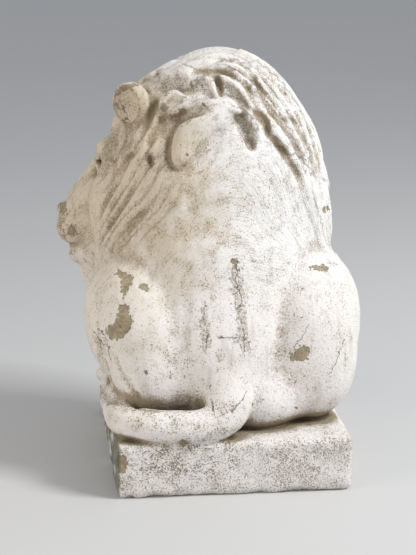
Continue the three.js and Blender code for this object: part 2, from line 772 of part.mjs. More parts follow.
// Points and faces become a solid, with only the points that are in use
function solidFrom(wasm, { points, faces }) {
  const numbers = new Map();
  const vertices = [];
  const corners = faces.flat().map((n) => {
    if (!numbers.has(n)) {
      numbers.set(n, numbers.size);
      vertices.push(...points[n].toArray());
    }
    return numbers.get(n);
  });
  return new wasm.Manifold(new wasm.Mesh({
    numProp: 3,
    vertProperties: new Float32Array(vertices),
    triVerts: new Uint32Array(corners),
  }));
}

// The plinth's skin: rectangles at four heights, the lowest and highest drawn in by its chamfered edge
function plinthSkin() {
  const levels = [
    [0, plinthEdge],
    [plinthEdge, 0],
    [plinthHeight - plinthEdge, 0],
    [plinthHeight, plinthEdge],
  ];
  const rings = levels.map(([z, inset]) => {
    const [x, y] = [plinthWidth / 2 - inset, plinthDepth / 2 - inset];
    return [place(x, y, z), place(-x, y, z), place(-x, -y, z), place(x, -y, z)];
  });
  const faces = [[0, 2, 1], [0, 3, 2], [12, 13, 14], [12, 14, 15]];
  for (let level = 0; level < 3; level += 1) {
    for (let side = 0; side < 4; side += 1) {
      const [a, b] = [level * 4 + side, level * 4 + ((side + 1) % 4)];
      faces.push([a, b, b + 4], [a, b + 4, a + 4]);
    }
  }
  return { points: rings.flat(), faces };
}

async function stoneGeometry() {
  const wasm = await Module();
  wasm.setup();
  const lion = simplified(largestBody(skinOf(carveLion())), triangleCount);
  const used = new Set(lion.faces.flat());
  const crown = Math.max(...[...used].map((n) => lion.points[n].z));
  const share = lionHeight / crown;
  used.forEach((n) => {
    lion.points[n].multiplyScalar(share).add(place(0, seatSetBack, plinthHeight));
  });
  const whole = solidFrom(wasm, lion).add(solidFrom(wasm, plinthSkin()));
  const mesh = whole.getMesh();
  const geometry = new THREE.BufferGeometry();
  geometry.setAttribute('position', new THREE.BufferAttribute(mesh.vertProperties, 3));
  geometry.setIndex(new THREE.BufferAttribute(mesh.triVerts, 1));
  geometry.computeVertexNormals();
  return geometry;
}

const stone = new THREE.MeshStandardMaterial({
  color: stoneColour,
  roughness: stoneRoughness,
  metalness: 0,
});

const statue = new THREE.Mesh(await stoneGeometry(), stone);
statue.name = 'lion_statue';

const group = new THREE.Group();
group.add(statue);

export default group;
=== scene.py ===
import math

import bpy
import numpy as np
from mathutils import Matrix, Vector


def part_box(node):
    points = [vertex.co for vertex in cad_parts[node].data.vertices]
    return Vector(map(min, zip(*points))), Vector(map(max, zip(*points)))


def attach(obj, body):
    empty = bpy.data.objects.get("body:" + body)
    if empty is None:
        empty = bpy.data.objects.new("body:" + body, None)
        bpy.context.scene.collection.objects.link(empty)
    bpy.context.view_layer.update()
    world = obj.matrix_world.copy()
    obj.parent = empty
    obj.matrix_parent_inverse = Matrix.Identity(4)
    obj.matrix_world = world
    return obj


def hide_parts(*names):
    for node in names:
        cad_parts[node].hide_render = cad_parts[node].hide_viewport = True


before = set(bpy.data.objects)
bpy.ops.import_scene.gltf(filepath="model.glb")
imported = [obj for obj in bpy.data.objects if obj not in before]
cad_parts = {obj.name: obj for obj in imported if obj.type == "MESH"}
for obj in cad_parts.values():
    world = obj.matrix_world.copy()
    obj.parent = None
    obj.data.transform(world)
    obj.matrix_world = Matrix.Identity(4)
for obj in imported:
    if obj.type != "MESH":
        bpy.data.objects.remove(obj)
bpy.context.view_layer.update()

bl_info = {
    "name": "Stone lion",
    "version": (1, 0, 0),
    "blender": (4, 5, 0),
    "location": "3D View > Sidebar > Stone lion",
    "description": "Carves a seated stone lion on its plinth and sets it on a plain stage",
    "category": "Object",
}

NODE = "lion_statue"
LOW, HIGH = (np.array(corner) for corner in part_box(NODE))

# The figure's net: its two far corners, and the distance that all of it starts with, in the figure's own parts
NET_LOW, NET_HIGH = (-266, -290, -116), (322, 262, 664)
FAR = 80.0


def unit(v):
    """Vectors over their own lengths."""
    v = np.asarray(v, float)
    return v / np.maximum(np.linalg.norm(v, axis=-1, keepdims=True), 1e-9)


def turned(yaw=0.0, pitch=0.0, roll=0.0):
    """Axes turned by yaw about Z, then pitch about X, then roll about Y, in degrees, as columns."""
    a, b, c = np.radians([yaw, pitch, roll])
    about_z = np.array([[np.cos(a), -np.sin(a), 0], [np.sin(a), np.cos(a), 0], [0, 0, 1]])
    about_x = np.array([[1, 0, 0], [0, np.cos(b), -np.sin(b)], [0, np.sin(b), np.cos(b)]])
    about_y = np.array([[np.cos(c), 0, np.sin(c)], [0, 1, 0], [-np.sin(c), 0, np.cos(c)]])
    return about_z @ about_x @ about_y


def chance(row, number):
    """The same irregularity every time, between -1 and 1: what is left of a large multiple of a sine."""
    wild = math.sin(row * 12.9898 + number * 78.233) * 43758.5453
    return 2 * (wild - math.floor(wild)) - 1


def smooth_path(points, count):
    """A curve through the points: on each stretch a cubic whose slopes are half the neighbours' distance."""
    p = np.array(points, float)
    p = np.vstack([2 * p[0] - p[1], p, 2 * p[-1] - p[-2]])
    stretches = len(p) - 3
    t = np.linspace(0, stretches, count)
    i = np.minimum(t.astype(int), stretches - 1)
    u = (t - i)[:, None]
    a, b, c, d = p[i], p[i + 1], p[i + 2], p[i + 3]
    curve = 2 * b + (c - a) * u + (2 * a - 5 * b + 4 * c - d) * u**2 + (3 * b - a - 3 * c + d) * u**3
    return 0.5 * curve


def soft_least(a, b, blend):
    """The smaller of two distances, rounded over the width of a blend by a parabola."""
    share = np.clip(0.5 + 0.5 * (b - a) / blend, 0, 1)
    return (b * (1 - share) + a * share - blend * share * (1 - share)).astype(np.float32)


def ball(middle, radii, axes=None):
    """An ellipsoid: the scaled radius times itself less one, over the slope of the scaled radius."""
    middle = np.array(middle, float)
    radii = np.array(radii, float) * np.ones(3)
    axes = np.eye(3) if axes is None else axes
    reach = np.sqrt(((axes * radii) ** 2).sum(1))

    def distance(x, y, z):
        p = (x - middle[0], y - middle[1], z - middle[2])
        q = [sum(p[a] * axes[a, i] for a in range(3)) / radii[i] for i in range(3)]
        near = np.sqrt(q[0] ** 2 + q[1] ** 2 + q[2] ** 2)
        slope = np.sqrt(sum((q[i] / radii[i]) ** 2 for i in range(3)))
        return near * (near - 1) / np.maximum(slope, 1e-6)

    return middle - reach, middle + reach, distance


def block(middle, half, round_edge, axes=None):
    """A box with rounded edges: the distance from a smaller box, less the rounding."""
    middle = np.array(middle, float)
    half = np.array(half, float)
    axes = np.eye(3) if axes is None else axes
    reach = (np.abs(axes) * half).sum(1)

    def distance(x, y, z):
        p = (x - middle[0], y - middle[1], z - middle[2])
        q = [np.abs(sum(p[a] * axes[a, i] for a in range(3))) - half[i] + round_edge for i in range(3)]
        outside = np.sqrt(sum(np.maximum(v, 0) ** 2 for v in q))
        return outside + np.minimum(np.maximum(np.maximum(q[0], q[1]), q[2]), 0) - round_edge

    return middle - reach, middle + reach, distance


def limb(points, radii):
    """A tapering rope: the least over its stretches of the distance from the stretch less its radius there."""
    p = np.array(points, float)
    r = np.array(radii, float) * np.ones(len(p))

    def distance(x, y, z):
        least = None
        for a, b, ra, rb in zip(p[:-1], p[1:], r[:-1], r[1:]):
            ab = b - a
            px, py, pz = x - a[0], y - a[1], z - a[2]
            t = np.clip((px * ab[0] + py * ab[1] + pz * ab[2]) / max(ab @ ab, 1e-9), 0, 1)
            gap = np.sqrt((px - t * ab[0]) ** 2 + (py - t * ab[1]) ** 2 + (pz - t * ab[2]) ** 2)
            gap = gap - ra - t * (rb - ra)
            least = gap if least is None else np.minimum(least, gap)
        return least

    return (p - r[:, None]).min(0), (p + r[:, None]).max(0), distance


class Form:
    """The figure's distances on a net of points, to which masses are joined and from which they are cut."""

    def __init__(self, low, high, spacing):
        self.low = np.array(low, float)
        self.spacing = spacing
        self.count = np.ceil((np.array(high, float) - self.low) / spacing).astype(int) + 1
        self.lines = [(self.low[i] + spacing * np.arange(self.count[i])).astype(np.float32) for i in range(3)]
        self.values = np.full(self.count, FAR, np.float32)

    def part(self, low, high):
        """The part of the net within a box, as slices and as the three coordinates of its points."""
        a = np.clip(np.floor((low - self.low) / self.spacing).astype(int), 0, self.count)
        b = np.clip(np.ceil((high - self.low) / self.spacing).astype(int) + 1, 0, self.count)
        part = tuple(slice(*ends) for ends in zip(a, b))
        x, y, z = (line[s] for line, s in zip(self.lines, part))
        return part, (x[:, None, None], y[None, :, None], z[None, None, :])

    def change(self, solid, blend, sign):
        """Joins a solid (sign 1) or cuts it away (sign -1), which is a joining of what is outside."""
        low, high, distance = solid
        margin = blend + 3 * self.spacing
        part, coordinates = self.part(low - margin, high + margin)
        if self.values[part].size:
            self.values[part] = sign * soft_least(sign * self.values[part], distance(*coordinates), blend)

    def add(self, solid, blend):
        self.change(solid, blend, 1)

    def cut(self, solid, blend):
        self.change(solid, blend, -1)

    def distance(self, p):
        """Distances at points: the eight corners of each point's cell, weighted by nearness along each axis."""
        q = np.clip((np.atleast_2d(p) - self.low) / self.spacing, 0, self.count - 1.001)
        i = q.astype(int)
        t = q - i
        total = 0
        for corner in np.ndindex(2, 2, 2):
            weight = np.prod([t[:, a] if corner[a] else 1 - t[:, a] for a in range(3)], axis=0)
            total = total + weight * self.values[tuple(i[:, a] + corner[a] for a in range(3))]
        return total

    def slope(self, p, step=None):
        """The distance's change along each axis: the difference over a step to either side."""
        step = step or self.spacing
        p = np.atleast_2d(p)
        offsets = np.eye(3) * step
        return np.stack([(self.distance(p + e) - self.distance(p - e)) / (2 * step) for e in offsets], 1)

    def settle(self, p, steps=3):
        """Points moved onto the skin: a few steps down the slope, each by the distance over the slope."""
        p = np.atleast_2d(np.array(p, float)).copy()
        for _ in range(steps):
            slope = self.slope(p)
            steepness = np.maximum((slope * slope).sum(1, keepdims=True), 0.05)
            p = p - slope / steepness * self.distance(p)[:, None]
        return p

    def reach_skin(self, start, way, sign):
        """The first places on the skin along ways, from outside (sign 1) or from inside (sign -1): sixty steps
        of seven tenths of the distance."""
        p = np.atleast_2d(np.array(start, float)) + 0 * np.atleast_2d(way)
        for _ in range(60):
            gap = sign * self.distance(p)
            p = p + np.atleast_2d(way) * np.maximum(gap * 0.7, 0)[:, None] * (gap > 0.2)[:, None]
        return p

    def copy(self):
        twin = Form.__new__(Form)
        twin.__dict__.update(self.__dict__)
        twin.values = self.values.copy()
        return twin

    def skin(self):
        """A surface net: one point in each cell that the skin crosses, the mean of where it crosses the cell's
        edges, and one face of four round each crossed edge of the net."""
        d = self.values
        inside = d < 0
        cells = [slice(0, -1), slice(1, None)]
        total = sum(inside[tuple(cells[c] for c in corner)].astype(np.uint8) for corner in np.ndindex(2, 2, 2))
        crossed = (total > 0) & (total < 8)
        at = np.argwhere(crossed)
        number = np.full(crossed.shape, -1, np.int64)
        number[crossed] = np.arange(len(at))
        place = np.zeros((len(at), 3))
        hits = np.zeros(len(at))
        for corner in np.ndindex(2, 2, 2):
            for axis in range(3):
                if corner[axis]:
                    continue
                a = at + np.array(corner)
                b = a + np.eye(3, dtype=int)[axis]
                da, db = d[tuple(a.T)], d[tuple(b.T)]
                crosses = (da < 0) != (db < 0)
                t = np.where(crosses, da / np.where(crosses, da - db, 1), 0)
                p = np.array(corner, float) + np.zeros((len(at), 3))
                p[:, axis] = t
                place[crosses] += p[crosses]
                hits[crosses] += 1
        points = self.low + self.spacing * (at + place / hits[:, None])
        faces = []
        for axis in range(3):
            u, v = [(1, 2), (2, 0), (0, 1)][axis]
            ahead = inside[tuple(slice(1, None) if a == axis else slice(None) for a in range(3))]
            here = inside[tuple(slice(0, -1) if a == axis else slice(None) for a in range(3))]
            edge = np.argwhere(here != ahead)
            edge = edge[(edge[:, u] > 0) & (edge[:, v] > 0)]
            edge = edge[(edge[:, u] < crossed.shape[u]) & (edge[:, v] < crossed.shape[v])]
            corners = []
            for back_u, back_v in [(1, 1), (0, 1), (0, 0), (1, 0)]:
                cell = edge.copy()
                cell[:, u] -= back_u
                cell[:, v] -= back_v
                corners.append(number[tuple(cell.T)])
            quads = np.stack(corners, 1)
            outward = here[tuple(edge.T)]
            quads[~outward] = quads[~outward][:, ::-1]
            faces.append(quads)
        return points, np.concatenate(faces)


# The figure's masses, in parts: x to the lion's left, y backwards, z up from the plinth's top


def carve_trunk(form):
    """Rump, ribs, shoulders, neck and the stone left standing under the belly."""
    form.add(ball((12, 66, 105), (112, 116, 120)), 10)
    form.add(ball((-50, 100, 45), (80, 80, 60)), 20)
    form.add(ball((8, 20, 225), (150, 122, 175), turned(0, 14)), 60)
    form.add(ball((0, -35, 300), (172, 118, 165)), 50)
    form.add(ball((10, -30, 400), (160, 108, 150)), 50)
    form.add(block((0, -40, 50), (95, 95, 80), 30), 20)


def carve_toes(form, side, x, pitch, y, end, rise):
    """Four toes side by side, each running forward from y to the end, parted by a groove."""
    for toe in range(4):
        middle = toe in (1, 2)
        across = side * (x + toe * pitch)
        tip = (across, end - 6 * middle, rise * 0.6)
        form.add(limb([(across, y, rise), tip], [14, 14.5]), 5)


def carve_hind_leg(form, side):
    """Haunch, knee, buttock, shin and foot. The left haunch ends in a narrower buttock behind its shin."""
    if side > 0:
        form.add(ball((146, 28, 160), (91, 126, 110), turned(4, -14, -4)), 14)
        form.add(ball((118, 92, 88), (76, 70, 86)), 22)
    else:
        form.add(ball((-150, 28, 156), (91, 126, 118), turned(-4, -14, 4)), 16)
        form.add(ball((-142, 90, 88), (80, 72, 88)), 30)
    form.add(ball((side * 160, 0, 194), (66, 92, 76)), 40)
    form.add(limb([(side * 182, -58, 170), (side * 178, 20, 90), (side * 162, 88, 40)], [44, 28, 26]), 10)
    form.add(limb([(side * 150, 100, 28), (side * 166, -60, 22), (side * 172, -118, 24)], [28, 24, 30]), 8)
    carve_toes(form, side, 143, 19, -105, -143, 26)


def carve_foreleg(form, side):
    """A thick limb from the shoulder to the paw, and the paw with its toes."""
    leg = [(side * 120, -70, 300), (side * 116, -70, 190), (side * 98, -140, 110), (side * 94, -165, 45)]
    form.add(limb(leg, [82, 62, 42, 38]), 30)
    form.add(ball((side * 92, -190, 30), (46, 56, 32)), 12)
    carve_toes(form, side, 62, 20.5, -200, -238, 32)


TAIL_BENDS = [
    (8, 115, 105), (4, 162, 66), (18, 188, 36), (58, 198, 23), (110, 197, 24),
    (150, 189, 27), (184, 162, 27), (190, 90, 27), (190, 20, 26), (184, -40, 26),
]


def carve_tail(form):
    """The tail leaves the rump low, lies along the plinth's back edge and turns forward round the left foot."""
    path = smooth_path(TAIL_BENDS, 40)
    radii = np.interp(np.linspace(0, 1, 40), [0, 0.1, 0.2, 0.3, 0.8, 1], [52, 44, 35, 29, 25, 29])
    form.add(limb(path, radii), 14)


def carve_mane(form):
    """Crown and nape, crest, the hair over the left temple, the sides over the shoulders, and the breast."""
    form.add(ball((-1, -60, 408), (184, 135, 182)), 40)
    form.add(ball((-4, -78, 497), (124, 120, 126)), 30)
    form.add(ball((105, -76, 514), (56, 76, 54)), 20)
    form.add(ball((128, -85, 290), (82, 105, 170)), 50)
    form.add(ball((-92, -70, 310), (83, 108, 165)), 40)
    form.add(ball((10, -140, 240), (120, 78, 150)), 50)


# The head has axes of its own: x to its left, y backwards, z up, from its middle
HEAD_MIDDLE = np.array((75.0, -97.0, 400.0))
HEAD_AXES = turned(60)


def on_head(x, y, z):
    return HEAD_MIDDLE + HEAD_AXES @ np.array((x, y, z), float)


def head_axes(*turns):
    return HEAD_AXES @ turned(*turns)


def carve_skull(form):
    """Skull, forehead, bridge, muzzle, cheeks, brows, jaw, chin and beard."""
    form.add(ball(on_head(0, 5, 20), (100, 112, 112), HEAD_AXES), 30)
    form.add(ball(on_head(0, -56, 80), (72, 50, 48), HEAD_AXES), 25)
    form.add(block(on_head(0, -156, -30), (27, 64, 27), 24, head_axes(0, 53)), 20)
    form.add(block(on_head(0, -148, -96), (58, 58, 46), 36, HEAD_AXES), 14)
    for side in (1, -1):
        form.add(ball(on_head(side * 30, -179, -106), (36, 37, 36), HEAD_AXES), 10)
        form.add(ball(on_head(side * 30, -128, -56), (34, 48, 42), HEAD_AXES), 22)
        form.add(ball(on_head(side * 70, -52, -50), (52, 72, 75), HEAD_AXES), 25)
        form.add(limb([on_head(side * 44, -118, -30), on_head(side * 92, -45, -8)], [17, 24]), 16)
        brow = [on_head(side * 14, -118, 24), on_head(side * 46, -108, 42), on_head(side * 86, -60, 30)]
        form.add(limb(brow, [17, 18, 15]), 16)
        form.add(limb([on_head(side * 58, -30, -125), on_head(side * 30, -150, -150)], [40, 24]), 16)
        form.add(limb([on_head(side * 22, -145, -165), on_head(side * 12, -137, -228)], [24, 13]), 7)
    form.add(block(on_head(0, -157, -158), (36, 44, 22), 20, HEAD_AXES), 12)
    form.add(limb([on_head(0, -164, -168), on_head(0, -157, -240)], [27, 15]), 7)
    form.add(limb([on_head(0, -125, -165), on_head(0, -92, -245)], [42, 40]), 20)


def carve_face(form):
    """Nose, eyes with their lids, nostrils and the closed mouth."""
    form.add(block(on_head(0, -206, -82), (32, 17, 16), 13, head_axes(0, 12)), 7)
    for side in (1, -1):
        form.cut(ball(on_head(side * 50, -126, 4), (22, 16, 13), head_axes(side * 30)), 9)
        form.add(ball(on_head(side * 48, -108, 3), (19, 16, 14), head_axes(side * 30)), 2)
        upper = [on_head(side * x, y, z) for x, y, z in [(28, -120, 0), (46, -127, 15), (70, -108, 8)]]
        lower = [on_head(side * x, y, z) for x, y, z in [(29, -120, -1), (47, -122, -11), (70, -108, 3)]]
        form.add(limb(upper, [5, 6.5, 5]), 3)
        form.add(limb(lower, [4.5, 5, 4.5]), 4)
        form.cut(ball(on_head(side * 17, -222, -88), (10, 10, 7), head_axes(side * 20, 0, side * 20)), 3)
        lip = [(0, -221, -134), (34, -205, -140), (58, -160, -138), (66, -124, -148)]
        form.cut(limb([on_head(side * x, y, z) for x, y, z in lip], [4, 4, 4, 3]), 4)
    form.cut(limb([on_head(0, -225, -98), on_head(0, -223, -134)], [3, 3]), 3)


def carve_ear(form, side):
    """A round ear: a flattened ball, its front hollowed."""
    axes = head_axes(side * 76, 0, side * 10)
    middle = on_head(side * 108, -27, 134)
    form.add(ball(middle, (40, 21, 38), axes), 9)
    form.cut(ball(middle + axes @ np.array((-4, -17, -3)), (31, 25, 32), axes), 3)


# Places on the mane are a bearing round its middle (0 back, 90 the lion's left) and a rise, in degrees
MANE_MIDDLE = np.array((-5.0, -60.0, 400.0))
# A path on the skin that strides farther than this between two of its points has left the skin
LONGEST_STRIDE = 48.0
# How many points at the start of a tile lock lie under the row before it
TILE_COVERED = 4


def direction(bearing, rise):
    """The unit vector at a bearing and a rise."""
    b, r = np.radians(bearing), np.radians(rise)
    return np.stack([np.sin(b) * np.cos(r), np.cos(b) * np.cos(r), np.sin(r)], -1)


class Coat:
    """The mane's locks, laid on the skin that the form had when the coat was begun. Each lock is kept as a
    strand: its points, the way across it at each, its half width and its number."""

    def __init__(self, form):
        self.form = form
        self.bare = form.copy()
        self.strands = []

    def spots(self, ways):
        return self.bare.reach_skin(MANE_MIDDLE + 60 * ways, ways, -1)

    def places(self, bearings_and_rises):
        pairs = np.array(bearings_and_rises, float)
        return self.spots(direction(pairs[:, 0], pairs[:, 1]))

    def lock(self, points, width, proud, root=0.6, tip=0.25, blend=4.0, tile=False):
        """One lock along points on the skin. A tile lock starts under the row before it and ends proud; another
        rises from its root and dies away at its tip. Where the skin breaks off there is none."""
        points = np.array(points, float)
        if (np.linalg.norm(np.diff(points, axis=0), axis=1) > LONGEST_STRIDE).any():
            return
        path = self.bare.settle(smooth_path(points, 14))
        t = np.linspace(0, 1, len(path))
        if tile:
            radii = width * np.interp(t, [0, 0.3, 0.6, 0.85, 1], [0.7, 1, 1, 0.6, 0.2])
            height = np.minimum(proud * np.interp(t, [0, 0.55, 0.85, 1], [0.15, 0.9, 1, 0.45]), radii * 1.3)
        else:
            rooting, tipping = np.interp(t, [0, 0.25, 1], [root, 1, 1]), np.interp(t, [0, 0.45, 1], [1, 1, tip])
            taper = np.minimum(rooting, tipping)
            radii = width * taper
            height = proud * taper**0.7
        out = unit(self.bare.slope(path))
        self.form.add(limb(path - out * (radii - height)[:, None], radii), blend)
        across = unit(np.cross(out, np.gradient(path, axis=0)))
        number = np.full(len(path), len(self.strands))
        strand = np.column_stack([path, across, radii, number])
        self.strands.append(strand[TILE_COVERED:] if tile else strand)

    def sheaf(self, first, last, count, proud, row):
        """Strands side by side between two lines of flow, each a little different and waving across its run.
        Half a strand's width is a little over half the distance from one to the next."""
        start, end = (smooth_path(self.places(line), 25) for line in (first, last))
        gap = np.linalg.norm(end - start, axis=1).mean() / count
        across = unit(end[12] - start[12])
        t = np.linspace(0, 1, 25)[:, None]
        for i in range(count):
            share = (i + 0.5 + 0.15 * chance(row, i)) / count
            whole = start * (1 - share) + end * share
            whole = whole + across * 0.22 * gap * np.sin(t * (7 + 2 * chance(row + 1, i)) + row + i * 0.9)
            begin = round(2.5 + 2.5 * chance(row + 2, i))
            stop = round(23 + 2 * chance(row + 3, i))
            width = gap * (0.56 + 0.1 * chance(row + 4, i))
            height = min(proud * (1 + 0.3 * chance(row + 5, i)), width)
            self.lock(whole[begin:stop + 1:2], width, height, blend=2)


# Rows of locks round the face, the outermost first: where each row starts, its length in degrees,
# its number of locks, their half width and how proud they stand
FACE_BEARING, FACE_RISE = 118.0, -12.0
RUFF_ROWS = [
    (120, 42, 26, 19, 11),
    (98, 40, 28, 19, 12),
    (77, 38, 27, 18, 12),
    (58, 34, 24, 17, 12),
    (41, 30, 20, 15, 12),
]


def carve_ruff(coat):
    """Locks that flow away from the face and bend down: great circles out of the face's bearing, each swung
    by a sine along its run."""
    face = direction(FACE_BEARING, FACE_RISE)
    across = unit(np.cross((0, 0, 1), face))
    up = np.cross(face, across)
    t = np.arange(7) / 6
    for row, (start, reach, count, width, proud) in enumerate(RUFF_ROWS):
        for i in range(count):
            turn = 2 * math.pi * (i + 0.5 * (row % 2) + 0.12 * chance(row, i)) / count
            off = np.radians(start + 3 * chance(row + 10, i) + reach * t)
            angle = turn + 0.11 * np.sin(2.2 * math.pi * t + 0.4) / np.sin(np.maximum(off, 0.7))
            ways = np.cos(off)[:, None] * face + (np.sin(off) * np.cos(angle))[:, None] * across
            ways = ways + (np.sin(off) * np.sin(angle))[:, None] * up
            ways[:, 2] -= 0.3 * t * t + 0.1 * t
            ways = unit(ways)
            points = coat.spots(ways)
            rise = np.degrees(np.arcsin(ways[:, 2]))
            bearing = np.degrees(np.arctan2(ways[:, 0], ways[:, 1]))
            too_low = (rise < -78) | ((rise < -38) & (points[:, 1] > -20))
            on_back = (bearing > -88) & (bearing < 96) & (rise > -45)
            if too_low.any() or on_back[2:6].any():
                continue
            coat.lock(points, width * (1 + 0.1 * chance(row + 20, i)), proud, blend=2.5, tile=True)


# Rows of locks hanging on the breast: height of the row, its locks and their length
BREAST_ROWS = [(330, 7, 80), (280, 7, 90), (228, 6, 95), (178, 5, 70)]


def carve_breast(coat):
    """Tile locks in rows, found from in front, each narrowing to the middle and waving by a sine."""
    t = np.arange(6) / 5
    for row, (height, count, reach) in enumerate(BREAST_ROWS):
        for i in range(count):
            x = 12 + 33 * (i - (count - 1) / 2) + 4 * chance(row + 30, i)
            z = height + 4 * chance(row + 40, i)
            front = np.stack([x * (1 - 0.25 * t) + 7 * np.sin(6 * t + row), 0 * t - 290, z - reach * t], 1)
            coat.lock(coat.bare.reach_skin(front, (0, 1, 0), 1), 18, 11, blend=2.5, tile=True)


# Lines along which the hair flows at the back, from the crown down each side
LEFT_FLOWS = [
    [(67, 41), (65, 31), (67, 20), (74, 8), (82, -4), (85, -16)],
    [(50, 31), (52, 19), (58, 7), (69, -7), (82, -24)],
    [(38, 11), (43, -2), (53, -14), (66, -25), (74, -31)],
    [(25, 1), (33, -13), (44, -25), (52, -32)],
]
RIGHT_FLOWS = [
    [(12, 67), (-10, 60), (-23, 50), (-30, 38), (-38, 23), (-46, 5), (-52, -11)],
    [(14, 73), (-13, 67), (-29, 56), (-39, 40), (-48, 19), (-53, -3)],
    [(2, 79), (-38, 69), (-50, 53), (-56, 34), (-59, 13), (-60, -7)],
    [(-65, 83), (-64, 68), (-67, 51), (-68, 33), (-67, 17), (-70, 0)],
    [(-90, 71), (-84, 53), (-82, 33), (-84, 14), (-86, -6)],
]
RIGHT_LOW_FLOWS = [
    [(-3, 11), (-16, -6), (-28, -22), (-36, -33)],
    [(-32, 33), (-43, 16), (-50, -3), (-57, -17), (-64, -31)],
    [(-60, -2), (-66, -14), (-72, -26), (-74, -36)],
    [(-86, -2), (-87, -14), (-86, -26), (-84, -36)],
]


# The crown's front: bearings of its lines of flow, from ear to ear and on to the right side, where they reach
# farther down, how far a line swings on its way, and the rises that it runs between
FRONT_BEARINGS = (92, 114, 138, 162, 186, 210, 234, 256)
PAST_RIGHT_EAR = 170
FRONT_SWING = 9
FRONT_TOP, FOREHEAD_RISE, SIDE_RISE = 68, 44, 22


def front_flow(bearing):
    """A straight run of bearing and rise from near the crown's top."""
    t = np.arange(5) / 4
    low = FOREHEAD_RISE if bearing < PAST_RIGHT_EAR else SIDE_RISE
    return np.stack([bearing + FRONT_SWING * t, FRONT_TOP + (low - FRONT_TOP) * t], 1)


# Sheaves between neighbouring lines: the lines, the strands and their height in each sheaf, and the number
# that their irregularities start from
SHEAVES = [
    ([front_flow(bearing) for bearing in FRONT_BEARINGS], [(2, 8)] * 7, 32),
    (LEFT_FLOWS, [(2, 9), (3, 8), (3, 4)], 2),
    (RIGHT_LOW_FLOWS, [(3, 2), (2, 8), (2, 8)], 12),
    (RIGHT_FLOWS, [(1, 8), (2, 9), (2, 9), (2, 9)], 22),
]


def carve_sheaves(coat):
    """Sheaves that fan down the crown's front, and that sweep down to either side at the back."""
    for flows, sheaves, row in SHEAVES:
        for number, (count, proud) in enumerate(sheaves):
            coat.sheaf(flows[number], flows[number + 1], count, proud, row + number)


def carve_locks(coat):
    """Single locks of the crown and nape."""

    def lock(places, *shape, **more):
        coat.lock(coat.places(places), *shape, **more)

    lock([(111, 65), (90, 78), (-74, 88), (-71, 78), (-64, 68)], 24, 9, blend=6)
    lock([(63, 69), (41, 77), (-16, 80), (-43, 71)], 12, 9)
    lock([(99, 53), (103, 58), (87, 62)], 11, 9)
    lock([(82, 61), (73, 67), (49, 67), (38, 63)], 13, 10)
    lock([(-1, 52), (13, 47), (24, 40), (30, 31), (32, 21)], 34, 18, blend=4, tip=0.6, root=0.75)


def carve_lion(form):
    """Joins the masses, lays the coat over them and sets the ears on it."""
    carve_trunk(form)
    for side in (1, -1):
        carve_hind_leg(form, side)
        carve_foreleg(form, side)
    carve_tail(form)
    carve_mane(form)
    carve_skull(form)
    carve_face(form)
    coat = Coat(form)
    carve_ruff(coat)
    carve_breast(coat)
    carve_sheaves(coat)
    carve_locks(coat)
    carve_ear(form, 1)
    carve_ear(form, -1)
    return coat


def noise(points, size, seed):
    """Smooth noise between -1 and 1: a scrambled number at each corner of a cubic lattice of this size,
    mixed by an S curve of the nearness along each axis."""
    q = points / size + seed * 17.3
    i = np.floor(q).astype(np.int64)
    t = q - i
    t = t * t * (3 - 2 * t)
    total = np.zeros(len(points))
    for corner in np.ndindex(2, 2, 2):
        c = i + np.array(corner)
        h = (c[:, 0] * 73856093) ^ (c[:, 1] * 19349663) ^ (c[:, 2] * 83492791) ^ (seed * 2654435)
        h = (h ^ (h >> 13)) * 1274126177
        value = ((h ^ (h >> 16)) & 0xFFFF) / 32767.5 - 1
        total += value * np.prod([t[:, a] if corner[a] else 1 - t[:, a] for a in range(3)], axis=0)
    return total


# The photograph's frame, in its pixels, and where it was taken from
PHOTO_WIDTH, PHOTO_HEIGHT = 416.0, 555.0
VIEW_BEARING, VIEW_RISE = 173.5, 14.0
VIEW_DISTANCE = 3.0
VIEW_TARGET = np.array((0.0226, 0.025, 0.325))
FOCAL_PIXELS = 1708.2


def view_axes():
    """The camera's right, up and backward directions."""
    a, e = math.radians(VIEW_BEARING), math.radians(VIEW_RISE)
    back = np.array((math.sin(a) * math.cos(e), -math.cos(a) * math.cos(e), math.sin(e)))
    right = unit(np.cross((0, 0, 1), back))
    return right, np.cross(back, right), back


def seen_at(places):
    """Where places in metres lie in the photograph: their offsets across and up over their depth, in pixels."""
    right, up, back = view_axes()
    p = places - (VIEW_TARGET + VIEW_DISTANCE * back)
    depth = -(p @ back)
    across = PHOTO_WIDTH / 2 + FOCAL_PIXELS * (p @ right) / depth
    down = PHOTO_HEIGHT / 2 - FOCAL_PIXELS * (p @ up) / depth
    return np.stack([across, down], 1)


# Where the paint has come off, as outlines in the photograph's pixels
FLAKE_OUTLINES = [
    [(118, 268), (122, 272), (130, 274), (134, 279), (133, 284), (128, 287), (127, 293), (124, 300), (121, 300),
     (122, 293), (121, 285), (120, 278), (117, 274)],
    [(135, 284), (140, 283), (144, 282), (148, 286), (151, 290), (146, 292), (141, 290)],
    [(118, 306), (128, 306), (130, 313), (133, 321), (130, 327), (125, 333), (122, 339), (116, 341), (110, 339),
     (104, 334), (103, 330), (108, 326), (113, 324), (117, 319)],
    [(297, 350), (300, 346), (305, 345), (310, 349), (311, 355), (308, 360), (302, 361), (298, 360), (293, 362),
     (289, 358), (291, 354), (296, 353)],
    [(309, 267), (312, 264), (322, 264), (328, 268), (326, 272), (315, 269)],
    [(118, 455), (127, 458), (126, 472), (120, 475), (115, 466)],
    [(60, 199), (66, 201), (67, 211), (63, 215), (59, 209)],
    [(110, 99), (117, 89), (126, 84), (137, 81), (139, 85), (129, 88), (120, 93), (114, 101), (112, 110)],
]
